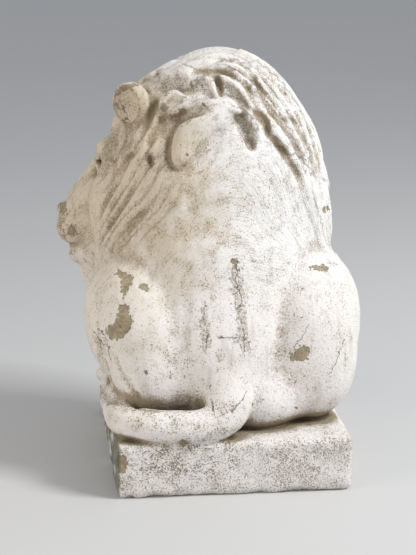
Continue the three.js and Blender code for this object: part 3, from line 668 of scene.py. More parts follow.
# Small chips: across, down and radius, in the same pixels
CHIPS = [
    (183, 111, 3.6), (204, 105, 2), (216, 352, 1.6), (234, 262, 2), (183, 442, 3),
    (71.5, 230.5, 4), (222, 338, 1.3), (326, 210, 3.5), (188, 154, 1.3), (180, 145, 1.1), (146, 372, 1.5),
    (112, 160, 2), (127, 118, 1.5), (296, 408, 1.2), (252, 404, 1.3),
]
# Where the paint is broken up finely, as outlines
SCABS = [
    [(233, 264), (239, 266), (243, 284), (245, 300), (248, 330), (248, 352), (242, 352), (238, 330), (235, 300),
     (231, 280)],
    [(201, 306), (208, 308), (210, 326), (211, 347), (203, 350), (201, 330)],
    [(232, 334), (246, 336), (246, 344), (234, 343)],
    [(220, 346), (226, 356), (220, 362), (216, 354)],
]
# Cracks, as paths
CRACKS = [
    [(101, 331), (106, 337), (108, 345), (110, 356)],
    [(95, 333), (103, 343)],
    [(237, 262), (236, 284), (242, 300), (237, 310), (241, 320), (244, 335), (244, 353)],
    [(205, 305), (204, 320), (208, 335), (206, 350)],
    [(222, 338), (230, 337), (238, 338), (246, 341)],
    [(295, 349), (296, 343), (300, 339), (304, 334), (307, 328)],
    [(343, 343), (340, 350), (337, 360), (332, 370)],
    [(245, 395), (240, 403), (234, 409)],
    [(212, 403), (214, 412)],
    [(123, 107), (125, 113), (128, 118)],
]
# Where dirt has settled beyond the hollows, and painted shade and shadow in grooves, under overhangs and in
# holes: how thick it is, from 0 to 1, and its outline
STAINS_AND_SHADOWS = [
    (0.8, [(108, 124), (136, 120), (139, 140), (130, 157), (112, 176), (96, 180), (98, 154), (105, 140)]),
    (0.6, [(152, 80), (186, 79), (214, 74), (216, 100), (190, 104), (176, 93), (162, 101), (154, 104)]),
    (0.9, [(178, 115), (205, 109), (188, 121), (174, 133), (162, 140), (158, 112)]),
    (0.5, [(216, 76), (228, 84), (250, 106), (250, 112), (228, 107), (216, 100)]),
    (0.25, [(233, 112), (246, 119), (257, 140), (253, 152), (244, 142), (236, 126)]),
    (0.8, [(93, 376), (112, 394), (141, 405), (140, 414), (116, 412), (96, 402)]),
    (1.25, [(120, 397), (150, 404), (180, 402), (196, 397), (193, 411), (160, 413), (130, 410)]),
    (0.6, [(112, 92), (136, 87), (143, 100), (140, 118), (124, 118), (112, 106)]),
    (0.9, [(165, 130), (170, 132), (169, 160), (180, 170), (168, 174), (162, 160)]),
    (0.55, [(140, 440), (236, 424), (242, 470), (205, 482), (145, 480)]),
    (0.45, [(186, 412), (235, 416), (300, 420), (338, 424), (338, 436), (240, 440)]),
    (0.7, [(90, 330), (104, 338), (112, 356), (104, 368), (94, 352)]),
    (0.9, [(58, 200), (66, 206), (64, 228), (70, 246), (80, 252), (70, 256), (56, 238)]),
    (0.4, [(228, 262), (250, 262), (262, 300), (252, 352), (234, 352), (228, 300)]),
    (0.35, [(268, 262), (300, 258), (304, 300), (294, 345), (276, 342), (266, 300)]),
    (0.35, [(198, 262), (214, 280), (216, 352), (200, 352), (196, 300)]),
    (0.4, [(188, 150), (214, 136), (216, 162), (200, 180), (176, 184)]),
    (0.35, [(146, 340), (186, 350), (196, 392), (160, 398), (134, 384)]),
    (0.3, [(244, 398), (292, 404), (290, 420), (240, 414)]),
    (0.52, [(124, 404), (180, 404), (240, 396), (236, 430), (190, 441), (130, 428)]),
    (1.7, [(146, 154), (152, 153), (154, 162), (151, 168), (147, 163)]),
    (1.5, [(67, 226), (75, 225), (77, 233), (71, 237)]),
]
# Wide basins between the crown's curls, the curls themselves as ridges, then furrows between the locks and
# beside the tendons: path, half width and height or depth in millimetres
BASINS = [
    ([(157, 91), (172, 88), (188, 90)], 15, 9),
    ([(193, 90), (203, 90), (212, 94)], 12, 6),
    ([(162, 119), (178, 118), (198, 109)], 13, 9),
    ([(216, 82), (227, 92), (241, 104)], 14, 6),
    ([(238, 117), (248, 131), (253, 144)], 13, 6),
    ([(186, 172), (201, 162), (212, 149), (219, 134)], 15, 8),
]
RIDGES = [
    ([(150, 76), (158, 79), (168, 78), (178, 74), (188, 76)], 7, 7),
    ([(160, 71), (169, 75)], 6, 3),
    ([(169, 111), (163, 107), (165, 100), (173, 96), (181, 97), (187, 101)], 8, 11),
    ([(170, 114), (177, 111), (186, 107), (196, 104), (208, 103), (222, 103)], 9, 9),
    ([(190, 87), (196, 81), (204, 79), (210, 81), (213, 88), (217, 98)], 7, 9),
    ([(230, 109), (240, 111), (249, 118), (256, 128), (260, 139)], 6, 8),
    ([(262, 113), (270, 126), (280, 140), (290, 153)], 7, 5),
    ([(206, 64), (220, 66), (232, 70), (243, 79)], 7, 5),
]
FURROWS = [
    ([(240, 64), (249, 70), (254, 80), (261, 92), (266, 102), (275, 113), (286, 121), (296, 130)], 5, 5),
    ([(256, 66), (262, 76), (269, 87), (279, 98), (288, 108)], 5, 4),
    ([(268, 72), (276, 83), (285, 93), (294, 106), (300, 120)], 5, 4),
    ([(236, 74), (244, 82), (250, 93), (257, 105), (264, 113)], 5, 5),
    ([(215, 74), (218, 84), (221, 96)], 6, 8),
    ([(227, 86), (233, 93), (240, 101), (247, 108)], 9, 6),
    ([(254, 111), (262, 118), (267, 127), (268, 137)], 6, 8),
    ([(237, 119), (244, 129), (249, 140), (252, 148)], 11, 6),
    ([(247, 138), (250, 145), (253, 150)], 7, 5),
    ([(275, 137), (281, 148), (288, 156)], 7, 6),
    ([(270, 137), (283, 154), (293, 167), (300, 180), (305, 193), (310, 206)], 6, 5),
    ([(268, 112), (281, 123), (291, 136), (298, 150), (303, 164), (309, 180)], 5, 5),
    ([(284, 112), (294, 122), (302, 135), (310, 152), (314, 170), (317, 190)], 5, 4),
    ([(306, 124), (314, 140), (319, 158), (321, 180)], 5, 4),
    ([(188, 60), (200, 58), (215, 58), (230, 62)], 5, 3),
    ([(189, 74), (200, 71), (212, 71), (226, 73), (236, 78)], 5, 6),
    ([(153, 103), (151, 112), (147, 122), (141, 133)], 6, 7),
    ([(158, 126), (152, 136), (149, 148)], 5, 5),
    ([(163, 118), (161, 127), (164, 137)], 9, 6),
    ([(148, 156), (149, 160), (151, 165)], 5, 7),
    ([(180, 121), (172, 130), (169, 142), (168, 155), (171, 166), (178, 171)], 5, 6),
    ([(212, 109), (200, 113), (188, 118)], 6, 6),
    ([(139, 148), (130, 158), (120, 169), (112, 180), (105, 190)], 7, 5),
    ([(120, 182), (112, 194), (104, 208), (98, 222)], 6, 4),
    ([(136, 178), (131, 192), (120, 210), (110, 226), (102, 240)], 6, 4),
    ([(165, 187), (155, 200), (141, 215), (128, 232), (116, 248)], 7, 3),
    ([(100, 340), (106, 365), (113, 385), (123, 404)], 5, 4),
    ([(112, 345), (120, 370), (130, 388), (141, 402)], 5, 4),
    ([(100, 386), (110, 397), (122, 404), (138, 408)], 11, 7),
    ([(190, 270), (187, 300), (184, 330), (186, 360)], 16, 3),
]


def stretches(path, closed=False):
    """The ends of each stretch of a path, and of the last one back to the start if it is closed."""
    p = np.array(path, float)
    return zip(p, np.roll(p, -1, axis=0)) if closed else zip(p[:-1], p[1:])


def outline_depth(places, outline):
    """How far inside an outline places lie: the least distance from its sides, negative outside. A place is
    inside where a line drawn from it crosses the sides an odd number of times."""
    least = np.full(len(places), np.inf)
    inside = np.zeros(len(places), bool)
    for a, b in stretches(outline, True):
        ab = b - a
        ap = places - a
        t = np.clip(ap @ ab / (ab @ ab), 0, 1)
        least = np.minimum(least, np.linalg.norm(ap - t[:, None] * ab, axis=1))
        spans = (a[1] > places[:, 1]) != (b[1] > places[:, 1])
        crossing = a[0] + (places[:, 1] - a[1]) * ab[0] / (ab[1] if ab[1] else 1e-9)
        inside ^= spans & (places[:, 0] < crossing)
    return np.where(inside, least, -least)


def crack_offset(places):
    """How far to its left or right the nearest crack lies, and how far away it lies at all."""
    offset = np.full(len(places), 99.0)
    least = np.full(len(places), 99.0)
    for crack in CRACKS:
        for a, b in stretches(crack):
            ab = b - a
            ap = places - a
            t = np.clip(ap @ ab / (ab @ ab), 0, 1)
            gap = np.linalg.norm(ap - t[:, None] * ab, axis=1)
            nearer = gap < least
            across = (ab[0] * ap[:, 1] - ab[1] * ap[:, 0]) / np.linalg.norm(ab)
            least = np.where(nearer, gap, least)
            offset = np.where(nearer, across, offset)
    return offset, least


def smooth_step(value, low, high):
    """From nought at low to one at high along an S curve."""
    t = np.clip((value - low) / (high - low), 0, 1)
    return t * t * (3 - 2 * t)


# What each point of the skin has felt, by the names that the finish reads
FELT = ("hollow", "edge", "across", "parting", "lie", "flake", "scab", "stain_and_shadow", "crack", "cracked")
# Reaches at which hollows are felt and their weights, and the reach at which edges are
HOLLOW_REACHES = ((6, 0.45), (16, 0.4), (38, 0.15))
EDGE_REACH = 10
# Notches in the plinth's lower back edge: how far to the left, and half their length, in metres
PLINTH_NOTCHES = ((0.138, 0.018), (-0.044, 0.012), (-0.105, 0.03), (0.178, 0.01))
SCOOPS_A_SIDE = 9
# How far from a strand its hair reaches, and over what distance the hair's lines fade there
STRAND_REACH, STRAND_FADE = 16, 6


class Statue:
    """The carved figure as points in metres, with what paint and weather have left at each of them, and where
    shade and shadow are painted.
    """

    def __init__(self, sizes):
        self.form = Form(NET_LOW, NET_HIGH, sizes.net_spacing * 1000)
        coat = carve_lion(self.form)
        self.scale = (HIGH[2] - LOW[2] - sizes.plinth_height) / self.crown()
        self.shift = np.array((0, sizes.set_back, sizes.plinth_height))
        self.size = np.array((sizes.plinth_width, sizes.plinth_depth, sizes.plinth_height))
        self.trace(BASINS, -1, 8)
        self.trace(RIDGES, 1, 3)
        self.trace(FURROWS, -1, 3)
        self.add_plinth(sizes)
        parts, self.faces = self.form.skin()
        parts = self.form.settle(parts, 2)
        self.out = unit(self.form.slope(parts))
        self.places = parts * self.scale + self.shift
        self.read_form(parts)
        self.comb(parts, np.concatenate(coat.strands))
        self.read_damage()
        self.roughen()

    def crown(self):
        """The height of the figure's highest point: where the least distance on level layers turns positive."""
        least = self.form.values.min(axis=(0, 1))
        top = np.flatnonzero(least < 0)[-1]
        return self.form.lines[2][top] + self.form.spacing * least[top] / (least[top] - least[top + 1])

    def to_parts(self, places):
        return (np.asarray(places, float) - self.shift) / self.scale

    def trace(self, traces, sign, blend):
        """Ridges (sign 1), or basins and furrows (sign -1): each a tapering limb along the skin behind its
        path in the photograph, its middle as far in or out as leaves its height or depth."""
        right, up, back = view_axes()
        eye = self.to_parts(VIEW_TARGET + VIEW_DISTANCE * back)
        for path, width, height in traces:
            offset = smooth_path(path, 14) - (PHOTO_WIDTH / 2, PHOTO_HEIGHT / 2)
            ways = unit(offset[:, :1] * right - offset[:, 1:] * up - FOCAL_PIXELS * back)
            skin = self.form.reach_skin(eye + 2300 * ways, ways, 1)
            radii = width * np.interp(np.linspace(0, 1, 14), [0, 0.3, 0.7, 1], [0.55, 1, 1, 0.5])
            middle = skin - sign * unit(self.form.slope(skin)) * (radii * (1 - height / width))[:, None]
            if (np.linalg.norm(np.diff(skin, axis=0), axis=1) < LONGEST_STRIDE).all():
                self.form.change(limb(middle, radii), blend, sign)

    def add_plinth(self, sizes):
        """The plinth with its worn edges: a block from which shallow scoops are taken along the upper edges,
        and notches along the lower back edge."""
        half = self.size / 2
        w, d, h = half
        self.form.add(block(self.to_parts((0, 0, h)), half / self.scale, sizes.plinth_edge / self.scale), 5)
        corners = [(-w, -d), (w, -d), (w, d), (-w, d)]
        for side, (a, b) in enumerate(stretches(corners, True)):
            for number in range(SCOOPS_A_SIDE):
                share = (number + 0.5 + 0.4 * chance(side + 60, number)) / SCOOPS_A_SIDE
                at = np.append(a + (b - a) * share, 2 * h)
                long, high = chance(side + 70, number), chance(side + 80, number)
                radii = np.array((0.012 + 0.006 * long, 0.007, 0.006 + 0.003 * high))
                along = unit(b - a)
                at[:2] += 0.004 * np.array((along[1], -along[0]))
                axes = turned(math.degrees(math.atan2(along[1], along[0])) + 8 * chance(side + 90, number))
                self.form.cut(ball(self.to_parts(at + (0, 0, 0.003)), radii / self.scale, axes), 4)
        for x, reach in PLINTH_NOTCHES:
            self.form.cut(ball(self.to_parts((x, d, 0)), np.array((reach, 0.01, 0.009)) / self.scale), 4)

    def read_form(self, parts):
        """Hollow: how much closer the skin is, at some reaches out along the normal, than it would be from a
        flat. Edge: the same at one reach inwards."""
        out = unit(self.form.slope(parts, HOLLOW_REACHES[0][0]))
        self.hollow = np.zeros(len(parts))
        for reach, weight in HOLLOW_REACHES:
            self.hollow += weight * np.clip(1 - self.form.distance(parts + out * reach) / reach, 0, 1)
        self.edge = np.clip(1 + self.form.distance(parts - out * EDGE_REACH) / EDGE_REACH, 0, 1)

    def comb(self, parts, strands):
        """Which way the hair lies. Across: how far a point is to the side of its nearest strand, or off the
        strands the height plus a share of the distance from the spine, so that lines of one value arch down
        from it. Parting: how much farther the next strand is than the nearest, nought on the line between
        two. Lie: nought where the strands end and the arches begin, one where the hair is clearly either."""
        self.across = np.empty(len(parts))
        self.parting = np.empty(len(parts))
        self.lie = np.empty(len(parts))
        x, y, z = parts.T
        slant = 0.4 + 0.7 * smooth_step(x, -20, 60)
        arch = z + slant * np.hypot(x, 30)
        for some in np.array_split(np.arange(len(parts)), 80):
            gap = np.linalg.norm(parts[some, None] - strands[None, :, :3], axis=2) - 0.6 * strands[:, 6]
            nearest = gap.argmin(1)
            least = gap.min(1)
            other = strands[nearest, 7][:, None] != strands[None, :, 7]
            side = ((parts[some] - strands[nearest, :3]) * strands[nearest, 3:6]).sum(1)
            near = least < STRAND_REACH
            self.across[some] = np.where(near, side + 31 * strands[nearest, 7], arch[some])
            self.parting[some] = np.where(near, np.where(other, gap, 99).min(1) - least, 99)
            self.lie[some] = np.clip(abs(least - STRAND_REACH) / STRAND_FADE, 0, 1)

    def read_damage(self):
        """Flakes, scabs, marks of dirt and of painted shade and shadow, and cracks of the photograph, laid on
        the skin that faces it.
        Distances are in millimetres."""
        pixels = seen_at(self.places)
        millimetres = VIEW_DISTANCE / FOCAL_PIXELS * 1000
        facing = self.out @ view_axes()[2] > 0.12
        flake = np.full(len(pixels), -40.0)
        for outline in FLAKE_OUTLINES:
            flake = np.maximum(flake, outline_depth(pixels, outline))
        for across, down, radius in CHIPS:
            flake = np.maximum(flake, radius - np.hypot(pixels[:, 0] - across, pixels[:, 1] - down))
        self.flake = np.where(facing, flake * millimetres, -40)
        scabs = [smooth_step(outline_depth(pixels, outline), -2, 2) for outline in SCABS]
        self.scab = np.where(facing, np.max(scabs, axis=0), 0)
        stains_and_shadows = [thick * smooth_step(outline_depth(pixels, outline), -6, 5) for thick, outline in STAINS_AND_SHADOWS]
        self.stain_and_shadow = np.where(facing, np.max(stains_and_shadows, axis=0), 0)
        offset, least = crack_offset(pixels)
        self.crack = offset * millimetres
        self.cracked = np.where(facing, 1 - smooth_step(least * millimetres, 5, 10), 0)

    def roughen(self):
        """The weathered skin: waves of smooth noise along its normals, and the step down where paint is gone."""
        mm = self.places * 1000
        on_plinth = 1 - smooth_step(self.places[:, 2], self.size[2] - 0.004, self.size[2] + 0.004)
        rise = 0.45 * noise(mm, 26, 1) + 0.3 * noise(mm, 11, 2)
        rise += on_plinth * (1.4 * noise(mm, 48, 3) + 0.9 * noise(mm, 17, 4) + 0.5 * noise(mm, 8, 6))
        rise -= 1.5 * smooth_step(self.flake + 1.5 * noise(mm, 9, 5), -0.5, 2)
        self.places = self.places + self.out * (rise / 1000)[:, None]
        self.places[:, 2] = np.maximum(self.places[:, 2], 0)

    def mesh(self):
        """The points and faces as a smooth mesh, with what each point has felt as attributes."""
        mesh = bpy.data.meshes.new(NODE)
        mesh.vertices.add(len(self.places))
        mesh.vertices.foreach_set("co", self.places.astype(np.float32).ravel())
        mesh.loops.add(self.faces.size)
        mesh.loops.foreach_set("vertex_index", self.faces.ravel().astype(np.int32))
        mesh.polygons.add(len(self.faces))
        mesh.polygons.foreach_set("loop_start", np.arange(0, self.faces.size, 4, dtype=np.int32))
        mesh.update(calc_edges=True)
        mesh.validate()
        mesh.polygons.foreach_set("use_smooth", np.ones(len(self.faces), bool))
        for name in FELT:
            values = getattr(self, name).astype(np.float32)
            mesh.attributes.new(name, "FLOAT", "POINT").data.foreach_set("value", values)
        return mesh


class Shade:
    """An output in a material's nodes. Arithmetic on it adds the node that works it out: a Math node for
    numbers, a Vector Math node for colours and vectors."""

    def __init__(self, paint, socket):
        self.paint = paint
        self.socket = socket

    def work(self, operation, *others):
        if any(isinstance(s, Shade) and s.socket.type != "VALUE" for s in others):
            return self.paint.node("ShaderNodeVectorMath", {"operation": operation}, others)
        return self.paint.node("ShaderNodeMath", {"operation": operation}, others)

    def __add__(self, other):
        return self.work("ADD", self, other)

    def __radd__(self, other):
        return self.work("ADD", other, self)

    def __sub__(self, other):
        return self.work("SUBTRACT", self, other)

    def __rsub__(self, other):
        return self.work("SUBTRACT", other, self)

    def __mul__(self, other):
        return self.work("MULTIPLY", self, other)

    def __rmul__(self, other):
        return self.work("MULTIPLY", other, self)

    def __abs__(self):
        return self.work("ABSOLUTE", self)

    def most(self, other):
        return self.work("MAXIMUM", self, other)


class Paint:
    """A material's nodes: one method adds a node, and the rest name the few patterns made of them."""

    def __init__(self, name):
        self.material = bpy.data.materials.new(name)
        self.material.use_nodes = True
        self.tree = self.material.node_tree
        self.shader = self.tree.nodes["Principled BSDF"]
        self.place = self.node("ShaderNodeTexCoord", {}, (), "Object")

    def node(self, kind, settings, values, output=0):
        """A node of a kind, with its settings set first and then its sockets, by order or by name."""
        node = self.tree.nodes.new(kind)
        for name, setting in settings.items():
            setattr(node, name, setting)
        pairs = values.items() if isinstance(values, dict) else enumerate(values)
        for name, value in pairs:
            if isinstance(value, Shade):
                self.tree.links.new(value.socket, node.inputs[name])
            else:
                node.inputs[name].default_value = value
        return Shade(self, node.outputs[output])

    def attribute(self, name):
        return self.node("ShaderNodeAttribute", {"attribute_name": name}, (), "Fac")

    def noise(self, size, detail=3.0, stretch=(1, 1, 1), shift=0.0):
        """Noise whose features are about a size across, in metres."""
        place = self.node("ShaderNodeMapping", {}, {0: self.place, 1: (shift, shift, 0), 3: stretch})
        return self.node("ShaderNodeTexNoise", {}, {"Vector": place, "Scale": 1 / size, "Detail": detail}, 0)

    def step(self, value, low, high):
        return self.node("ShaderNodeMapRange", {"interpolation_type": "SMOOTHSTEP"}, (value, low, high))

    def mix(self, factor, first, second):
        values = {0: factor, 6: first, 7: second}
        return self.node("ShaderNodeMix", {"data_type": "RGBA"}, values, 2)

    def layers(self, tone, coats):
        """A colour under coats laid one on another, each an amount and a colour."""
        for amount, colour in coats:
            tone = self.mix(amount, tone, colour)
        return tone

    def set(self, name, value):
        if isinstance(value, Shade):
            self.tree.links.new(value.socket, self.shader.inputs[name])
        else:
            self.shader.inputs[name].default_value = value


def painted_stone(colours):
    """White paint on stone, yellowed high on its left with painted warm shade there too, dirty and with painted
    shade in its hollows, painted shadow in the deepest of them, dirty along its hair, specked, broken up, flaked
    and cracked, with moss on the left side of the plinth."""
    paint = Paint("painted_stone")
    hollow, edge, flake = (paint.attribute(name) for name in ("hollow", "edge", "flake"))
    broad, middling = paint.noise(0.09), paint.noise(0.022, 4)
    fine, grain = paint.noise(0.005, 4), paint.noise(0.0024, 2)
    rough = 1.2 * (middling - 0.5) + 1.6 * (grain - 0.5) + 0.8 * (fine - 0.5)
    left, back, height = (paint.node("ShaderNodeSeparateXYZ", {}, (paint.place,), i) for i in range(3))
    normal = paint.node("ShaderNodeTexCoord", {}, (), "Normal")
    to_left = paint.node("ShaderNodeSeparateXYZ", {}, (normal,), 0)
    on_plinth = 1 - paint.step(height + 0.01 * (middling - 0.5), 0.088, 0.1)
    low = 1 - paint.step(height, 0.28, 0.42)

    # The mane's fine hair: noise drawn out along the strands, and the lines between them
    comb = paint.node("ShaderNodeCombineXYZ", {}, (0.4 * paint.attribute("across"), 36 * left, 36 * height))
    hair = paint.node("ShaderNodeTexNoise", {}, {"Vector": comb, "Scale": 1.0, "Detail": 2.0}, 0)
    hairy = (1 - on_plinth) * paint.step(height, 0.3, 0.38) * paint.attribute("lie")
    parting = hairy * (1 - paint.step(paint.attribute("parting") + 6 * (fine - 0.5), 0.2, 2.6))
    strokes = hairy * paint.step(hair, 0.54, 0.66) * paint.step(middling, 0.42, 0.6)

    # Age, dirt, and painted shade and shadow
    # Yellowed paint high on the lion's left, which also paints the warm shade on that side
    yellow_and_warm_shade = paint.step(left + 0.42 * height + 0.25 * (broad - 0.5) + 0.1 * (middling - 0.5), 0.18, 0.3)
    yellow_and_warm_shade = yellow_and_warm_shade * (1 - 0.6 * low) * (1 - 0.8 * paint.step(height - 1.2 * left, 0.48, 0.6))
    clouds = paint.step(broad + 0.5 * middling, 0.6, 1.0)
    # Dirt marks, together with the shade and shadow painted with them
    stain_and_shadow = paint.step(paint.attribute("stain_and_shadow") + rough, 0.4, 1.1)
    # Dirt in the hollows, darker the more enclosed they are, which also paints their shade; and the same over
    # the marked stains and painted shadows
    dirt_and_hollow_shade = (0.9 * paint.step(hollow + 0.3 * rough + 0.05 * yellow_and_warm_shade, 0.1, 0.5)).most(0.75 * stain_and_shadow)
    # Painted shadow, nearly black, in the deepest hollows and in the darkest marked shadows and holes
    deep_painted_shadow = paint.step(hollow.most(0.6 * paint.attribute("stain_and_shadow")) + 0.2 * rough, 0.66, 0.9)
    streaks = paint.step(paint.noise(0.016, 3, (1, 1, 0.16)), 0.56, 0.72)
    mottle = on_plinth * paint.step(0.5 * middling + 0.5 * fine + 0.4 * broad + 0.3 * grain, 0.8, 1.0)
    mottle = mottle * paint.step(grain + fine, 0.85, 1.1)

    # Specks, pits and finely broken paint
    thick = paint.step(broad + 0.8 * (middling - 0.5), 0.45, 0.7)
    scab = paint.step(paint.attribute("scab") + 1.6 * (fine - 0.5) + 1.2 * (middling - 0.5), 0.3, 0.8)
    crumbs = 0.06 * thick + 0.08 * stain_and_shadow + 0.09 * on_plinth + 0.08 * scab
    specks = paint.step(grain + crumbs, 0.67, 0.73)
    pits = paint.step(paint.noise(0.007, 3, shift=3.1), 0.72, 0.75)

    # Flakes with their dark rims, and edges worn to the stone
    ragged = flake + 12 * (middling - 0.5) + 16 * (fine - 0.5) + 5 * (grain - 0.5)
    worn = paint.step(edge + 0.5 * (middling - 0.5), 0.52, 0.7)
    worn = worn * paint.step(paint.noise(0.03, 3, shift=7.7), 0.5, 0.6)
    bare = paint.step(ragged, -0.3, 0.3).most(0.8 * worn)
    rim = bare * (1 - paint.step(ragged, 0.1, 1.0))
    stone = paint.mix(paint.step(0.6 * fine + 0.4 * middling, 0.38, 0.62), colours.stone, colours.stone_dark)

    # Cracks wander to the side of their path and widen here and there
    wander = 12 * (paint.noise(0.008, 4) - 0.5)
    width = 0.3 + 1.3 * paint.step(paint.noise(0.018, 2), 0.5, 0.66)
    line = 1 - paint.step(abs(paint.attribute("crack") + wander) - width, -0.2, 0.4)
    line = line * paint.step(paint.attribute("cracked") + 1.2 * (fine - 0.5), 0.3, 0.6)

    damp = 1.6 * (middling - 0.5) + 3 * (broad - 0.5) + 0.6 * (fine - 0.5) - 5 * height + 1.6 * back
    moss = on_plinth * paint.step(to_left, 0.4, 0.8) * paint.step(damp, -0.5, 0.0)

    tone = paint.layers(colours.paint, (
        (yellow_and_warm_shade, colours.aged_and_shaded),
        (0.2 * low, colours.blush),
        (0.2 * clouds, colours.aged_and_shaded),
        (0.3 * paint.step(grain, 0.42, 0.68), colours.aged_and_shaded),
        (0.12 * paint.step(rough, 0.0, 0.3), colours.grime_and_shade),
        (dirt_and_hollow_shade, colours.grime_and_shade),
        (0.85 * deep_painted_shadow, colours.crack),
        (0.4 * parting, colours.grime_and_shade),
        (0.42 * strokes, colours.grime_and_shade),
        (0.22 * streaks, colours.grime_and_shade),
        (0.28 * mottle, colours.grime_and_shade),
        (0.6 * scab * paint.step(fine, 0.4, 0.6), colours.stone),
        (0.6 * specks, colours.speck),
        (0.8 * pits, colours.speck),
        (bare, stone),
        (0.7 * rim, colours.speck),
        (0.75 * line, colours.crack),
        (0.8 * moss, colours.moss),
    ))
    paint.set("Base Color", tone)
    paint.set("Roughness", 0.82 + 0.14 * bare)
    paint.set("Specular IOR Level", 0.35)
    relief = 1.3 * fine + 0.4 * grain + 1.7 * hairy * hair - 0.8 * parting
    relief = relief - 0.9 * bare - 1.2 * line - 0.5 * specks - 0.8 * pits
    relief = relief + on_plinth * (0.8 * fine + 0.5 * grain) + scab * (1.5 * fine + grain)
    bump = paint.node("ShaderNodeBump", {}, {"Strength": 1.0, "Distance": 0.001, "Height": relief}, 0)
    paint.set("Normal", bump)
    return paint.material


def floor_finish(colour):
    """Smooth pale floor paint, barely clouded."""
    paint = Paint("pale_floor")
    cloud = paint.noise(0.8, 2)
    darker = tuple(0.97 * c for c in colour[:3]) + (1,)
    paint.set("Base Color", paint.mix(cloud, tuple(colour), darker))
    paint.set("Roughness", 0.9)
    return paint.material


def colour_property(name, description, colour):
    return bpy.props.FloatVectorProperty(
        name=name, description=description, default=colour + (1,), size=4, subtype="COLOR", min=0, max=1
    )


def power_property(name, description, watts):
    return bpy.props.FloatProperty(name=name, description=description, default=watts, min=0, unit="POWER")


def length_property(name, description, length, least=0.0):
    return bpy.props.FloatProperty(name=name, description=description, default=length, min=least, unit="LENGTH")


class StoneLionSizes(bpy.types.PropertyGroup):
    plinth_width: length_property("Plinth width", "From the plinth's left side to its right", 0.4)
    plinth_depth: length_property("Plinth depth", "From the plinth's front to its back", 0.48)
    plinth_height: length_property("Plinth height", "From the ground to the plinth's top", 0.095)
    plinth_edge: length_property("Plinth edge", "Radius of the plinth's worn edges", 0.013)
    set_back: length_property("Set back", "How far the seat is behind the plinth's middle", 0.025)
    net_spacing: length_property("Net spacing", "Between the points that the skin is drawn from", 0.0047, 0.003)


class StoneLionColours(bpy.types.PropertyGroup):
    paint: colour_property("Paint", "Clean white paint", (0.85, 0.845, 0.835))
    # Yellowed paint, also laid on the lion's left side as painted warm shade
    aged_and_shaded: colour_property("Aged paint", "Yellowed paint", (0.66, 0.575, 0.445))
    blush: colour_property("Lower paint", "Paint low down, warmer", (0.75, 0.64, 0.56))
    # Dirt, also used as painted shade in the hollows
    grime_and_shade: colour_property("Grime", "Dirt in the hollows", (0.29, 0.22, 0.13))
    speck: colour_property("Specks", "Pits and the rims of flakes", (0.13, 0.11, 0.085))
    stone: colour_property("Bare stone", "Stone where the paint is gone", (0.43, 0.36, 0.25))
    stone_dark: colour_property("Damp stone", "Darker grains of the bare stone", (0.29, 0.235, 0.155))
    # The crack colour also paints the shadow in the deepest hollows
    crack: colour_property("Cracks", "Inside the cracks and the deepest hollows", (0.11, 0.09, 0.06))
    moss: colour_property("Moss", "Growth low on the plinth's left side", (0.075, 0.085, 0.045))


class StoneLionStage(bpy.types.PropertyGroup):
    floor: colour_property("Floor", "Pale floor", (0.62, 0.62, 0.61))
    floor_size: length_property("Floor size", "Across the floor", 60.0)
    key_power: power_property("Key light", "Soft light from behind and the lion's right", 103.0)
    fill_power: power_property("Fill light", "Weaker warm light from behind and the lion's left", 26.0)
    sky: bpy.props.FloatProperty(
        name="Sky", description="Light from all round", default=0.5, min=0, subtype="FACTOR"
    )


class STONELION_OT_carve(bpy.types.Operator):
    """Carve the lion on its plinth, weather it and paint it"""

    bl_idname = "stonelion.carve"
    bl_label = "Lion and plinth"

    def execute(self, context):
        statue = Statue(context.scene.stone_lion_sizes)
        mesh = statue.mesh()
        mesh.materials.append(painted_stone(context.scene.stone_lion_colours))
        piece = bpy.data.objects.new("stone_lion", mesh)
        context.scene.collection.objects.link(piece)
        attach(piece, "root")
        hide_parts(NODE)
        triangles = 2 * len(statue.faces)
        if triangles >= 200000:
            raise RuntimeError(f"the lion has {triangles} triangles")
        return {"FINISHED"}


def add_light(context, name, place, target, power, size, colour):
    light = bpy.data.lights.new(name, "AREA")
    light.energy, light.size, light.color = power, size, colour
    lamp = bpy.data.objects.new(name, light)
    context.scene.collection.objects.link(lamp)
    aim = Vector(target) - Vector(place)
    lamp.matrix_world = Matrix.Translation(place) @ aim.to_track_quat("-Z", "Y").to_matrix().to_4x4()


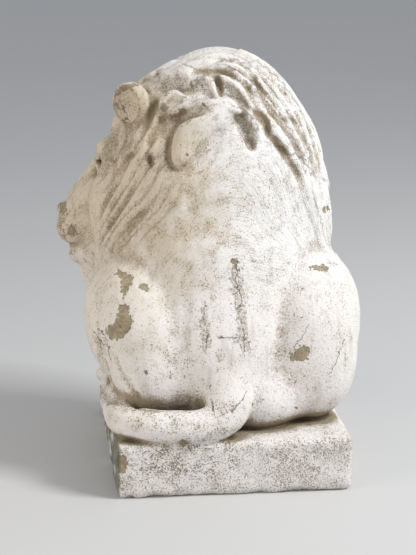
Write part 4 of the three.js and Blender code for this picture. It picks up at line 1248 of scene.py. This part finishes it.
class STONELION_OT_stage(bpy.types.Operator):
    """Set out the floor, the lights and the camera"""

    bl_idname = "stonelion.stage"
    bl_label = "Floor, lights and camera"

    def execute(self, context):
        stage = context.scene.stone_lion_stage
        reach = stage.floor_size / 2
        mesh = bpy.data.meshes.new("floor")
        mesh.from_pydata([(-reach, -reach, 0), (reach, -reach, 0), (reach, reach, 0), (-reach, reach, 0)], [],
                         [(0, 1, 2, 3)])
        mesh.materials.append(floor_finish(stage.floor))
        floor = bpy.data.objects.new("floor", mesh)
        context.scene.collection.objects.link(floor)
        add_light(context, "key", (-2.3, 1.2, 2.7), (0, 0, 0.4), stage.key_power, 1.1, (1, 1, 1))
        add_light(context, "fill", (2.4, 1.2, 1.0), (0, 0, 0.35), stage.fill_power, 1.6, (1, 0.9, 0.78))
        world = bpy.data.worlds.new("sky")
        context.scene.world = world
        world.use_nodes = True
        world.node_tree.nodes["Background"].inputs["Color"].default_value = (0.9, 0.93, 1, 1)
        world.node_tree.nodes["Background"].inputs["Strength"].default_value = stage.sky
        context.scene.view_settings.view_transform = "Standard"
        right, up, back = view_axes()
        lens = bpy.data.cameras.new("camera")
        lens.sensor_width = 36
        lens.lens = 36 * FOCAL_PIXELS / PHOTO_HEIGHT
        lens.clip_start, lens.clip_end = 0.05, 100
        camera = bpy.data.objects.new("camera", lens)
        context.scene.collection.objects.link(camera)
        turn = Matrix((right, up, back)).transposed().to_4x4()
        camera.matrix_world = Matrix.Translation(VIEW_TARGET + VIEW_DISTANCE * back) @ turn
        context.scene.camera = camera
        return {"FINISHED"}


class STONELION_PT_panel(bpy.types.Panel):
    """The lion's sizes and colours, and the steps that make it"""

    bl_label = "Stone lion"
    bl_space_type = "VIEW_3D"
    bl_region_type = "UI"
    bl_category = "Stone lion"

    def draw(self, context):
        scene = context.scene
        for group in (scene.stone_lion_sizes, scene.stone_lion_colours, scene.stone_lion_stage):
            box = self.layout.box()
            for name in group.bl_rna.properties.keys():
                if name not in ("rna_type", "name"):
                    box.prop(group, name)
        for operator in (STONELION_OT_carve, STONELION_OT_stage):
            self.layout.operator(operator.bl_idname)


CLASSES = (
    StoneLionSizes, StoneLionColours, StoneLionStage,
    STONELION_OT_carve, STONELION_OT_stage, STONELION_PT_panel,
)


def register():
    for each in CLASSES:
        bpy.utils.register_class(each)
    bpy.types.Scene.stone_lion_sizes = bpy.props.PointerProperty(type=StoneLionSizes)
    bpy.types.Scene.stone_lion_colours = bpy.props.PointerProperty(type=StoneLionColours)
    bpy.types.Scene.stone_lion_stage = bpy.props.PointerProperty(type=StoneLionStage)


def unregister():
    for name in ("stone_lion_sizes", "stone_lion_colours", "stone_lion_stage"):
        delattr(bpy.types.Scene, name)
    for each in reversed(CLASSES):
        bpy.utils.unregister_class(each)


def main():
    register()
    bpy.ops.stonelion.stage()
    bpy.ops.stonelion.carve()


if __name__ == "__main__":
    main()
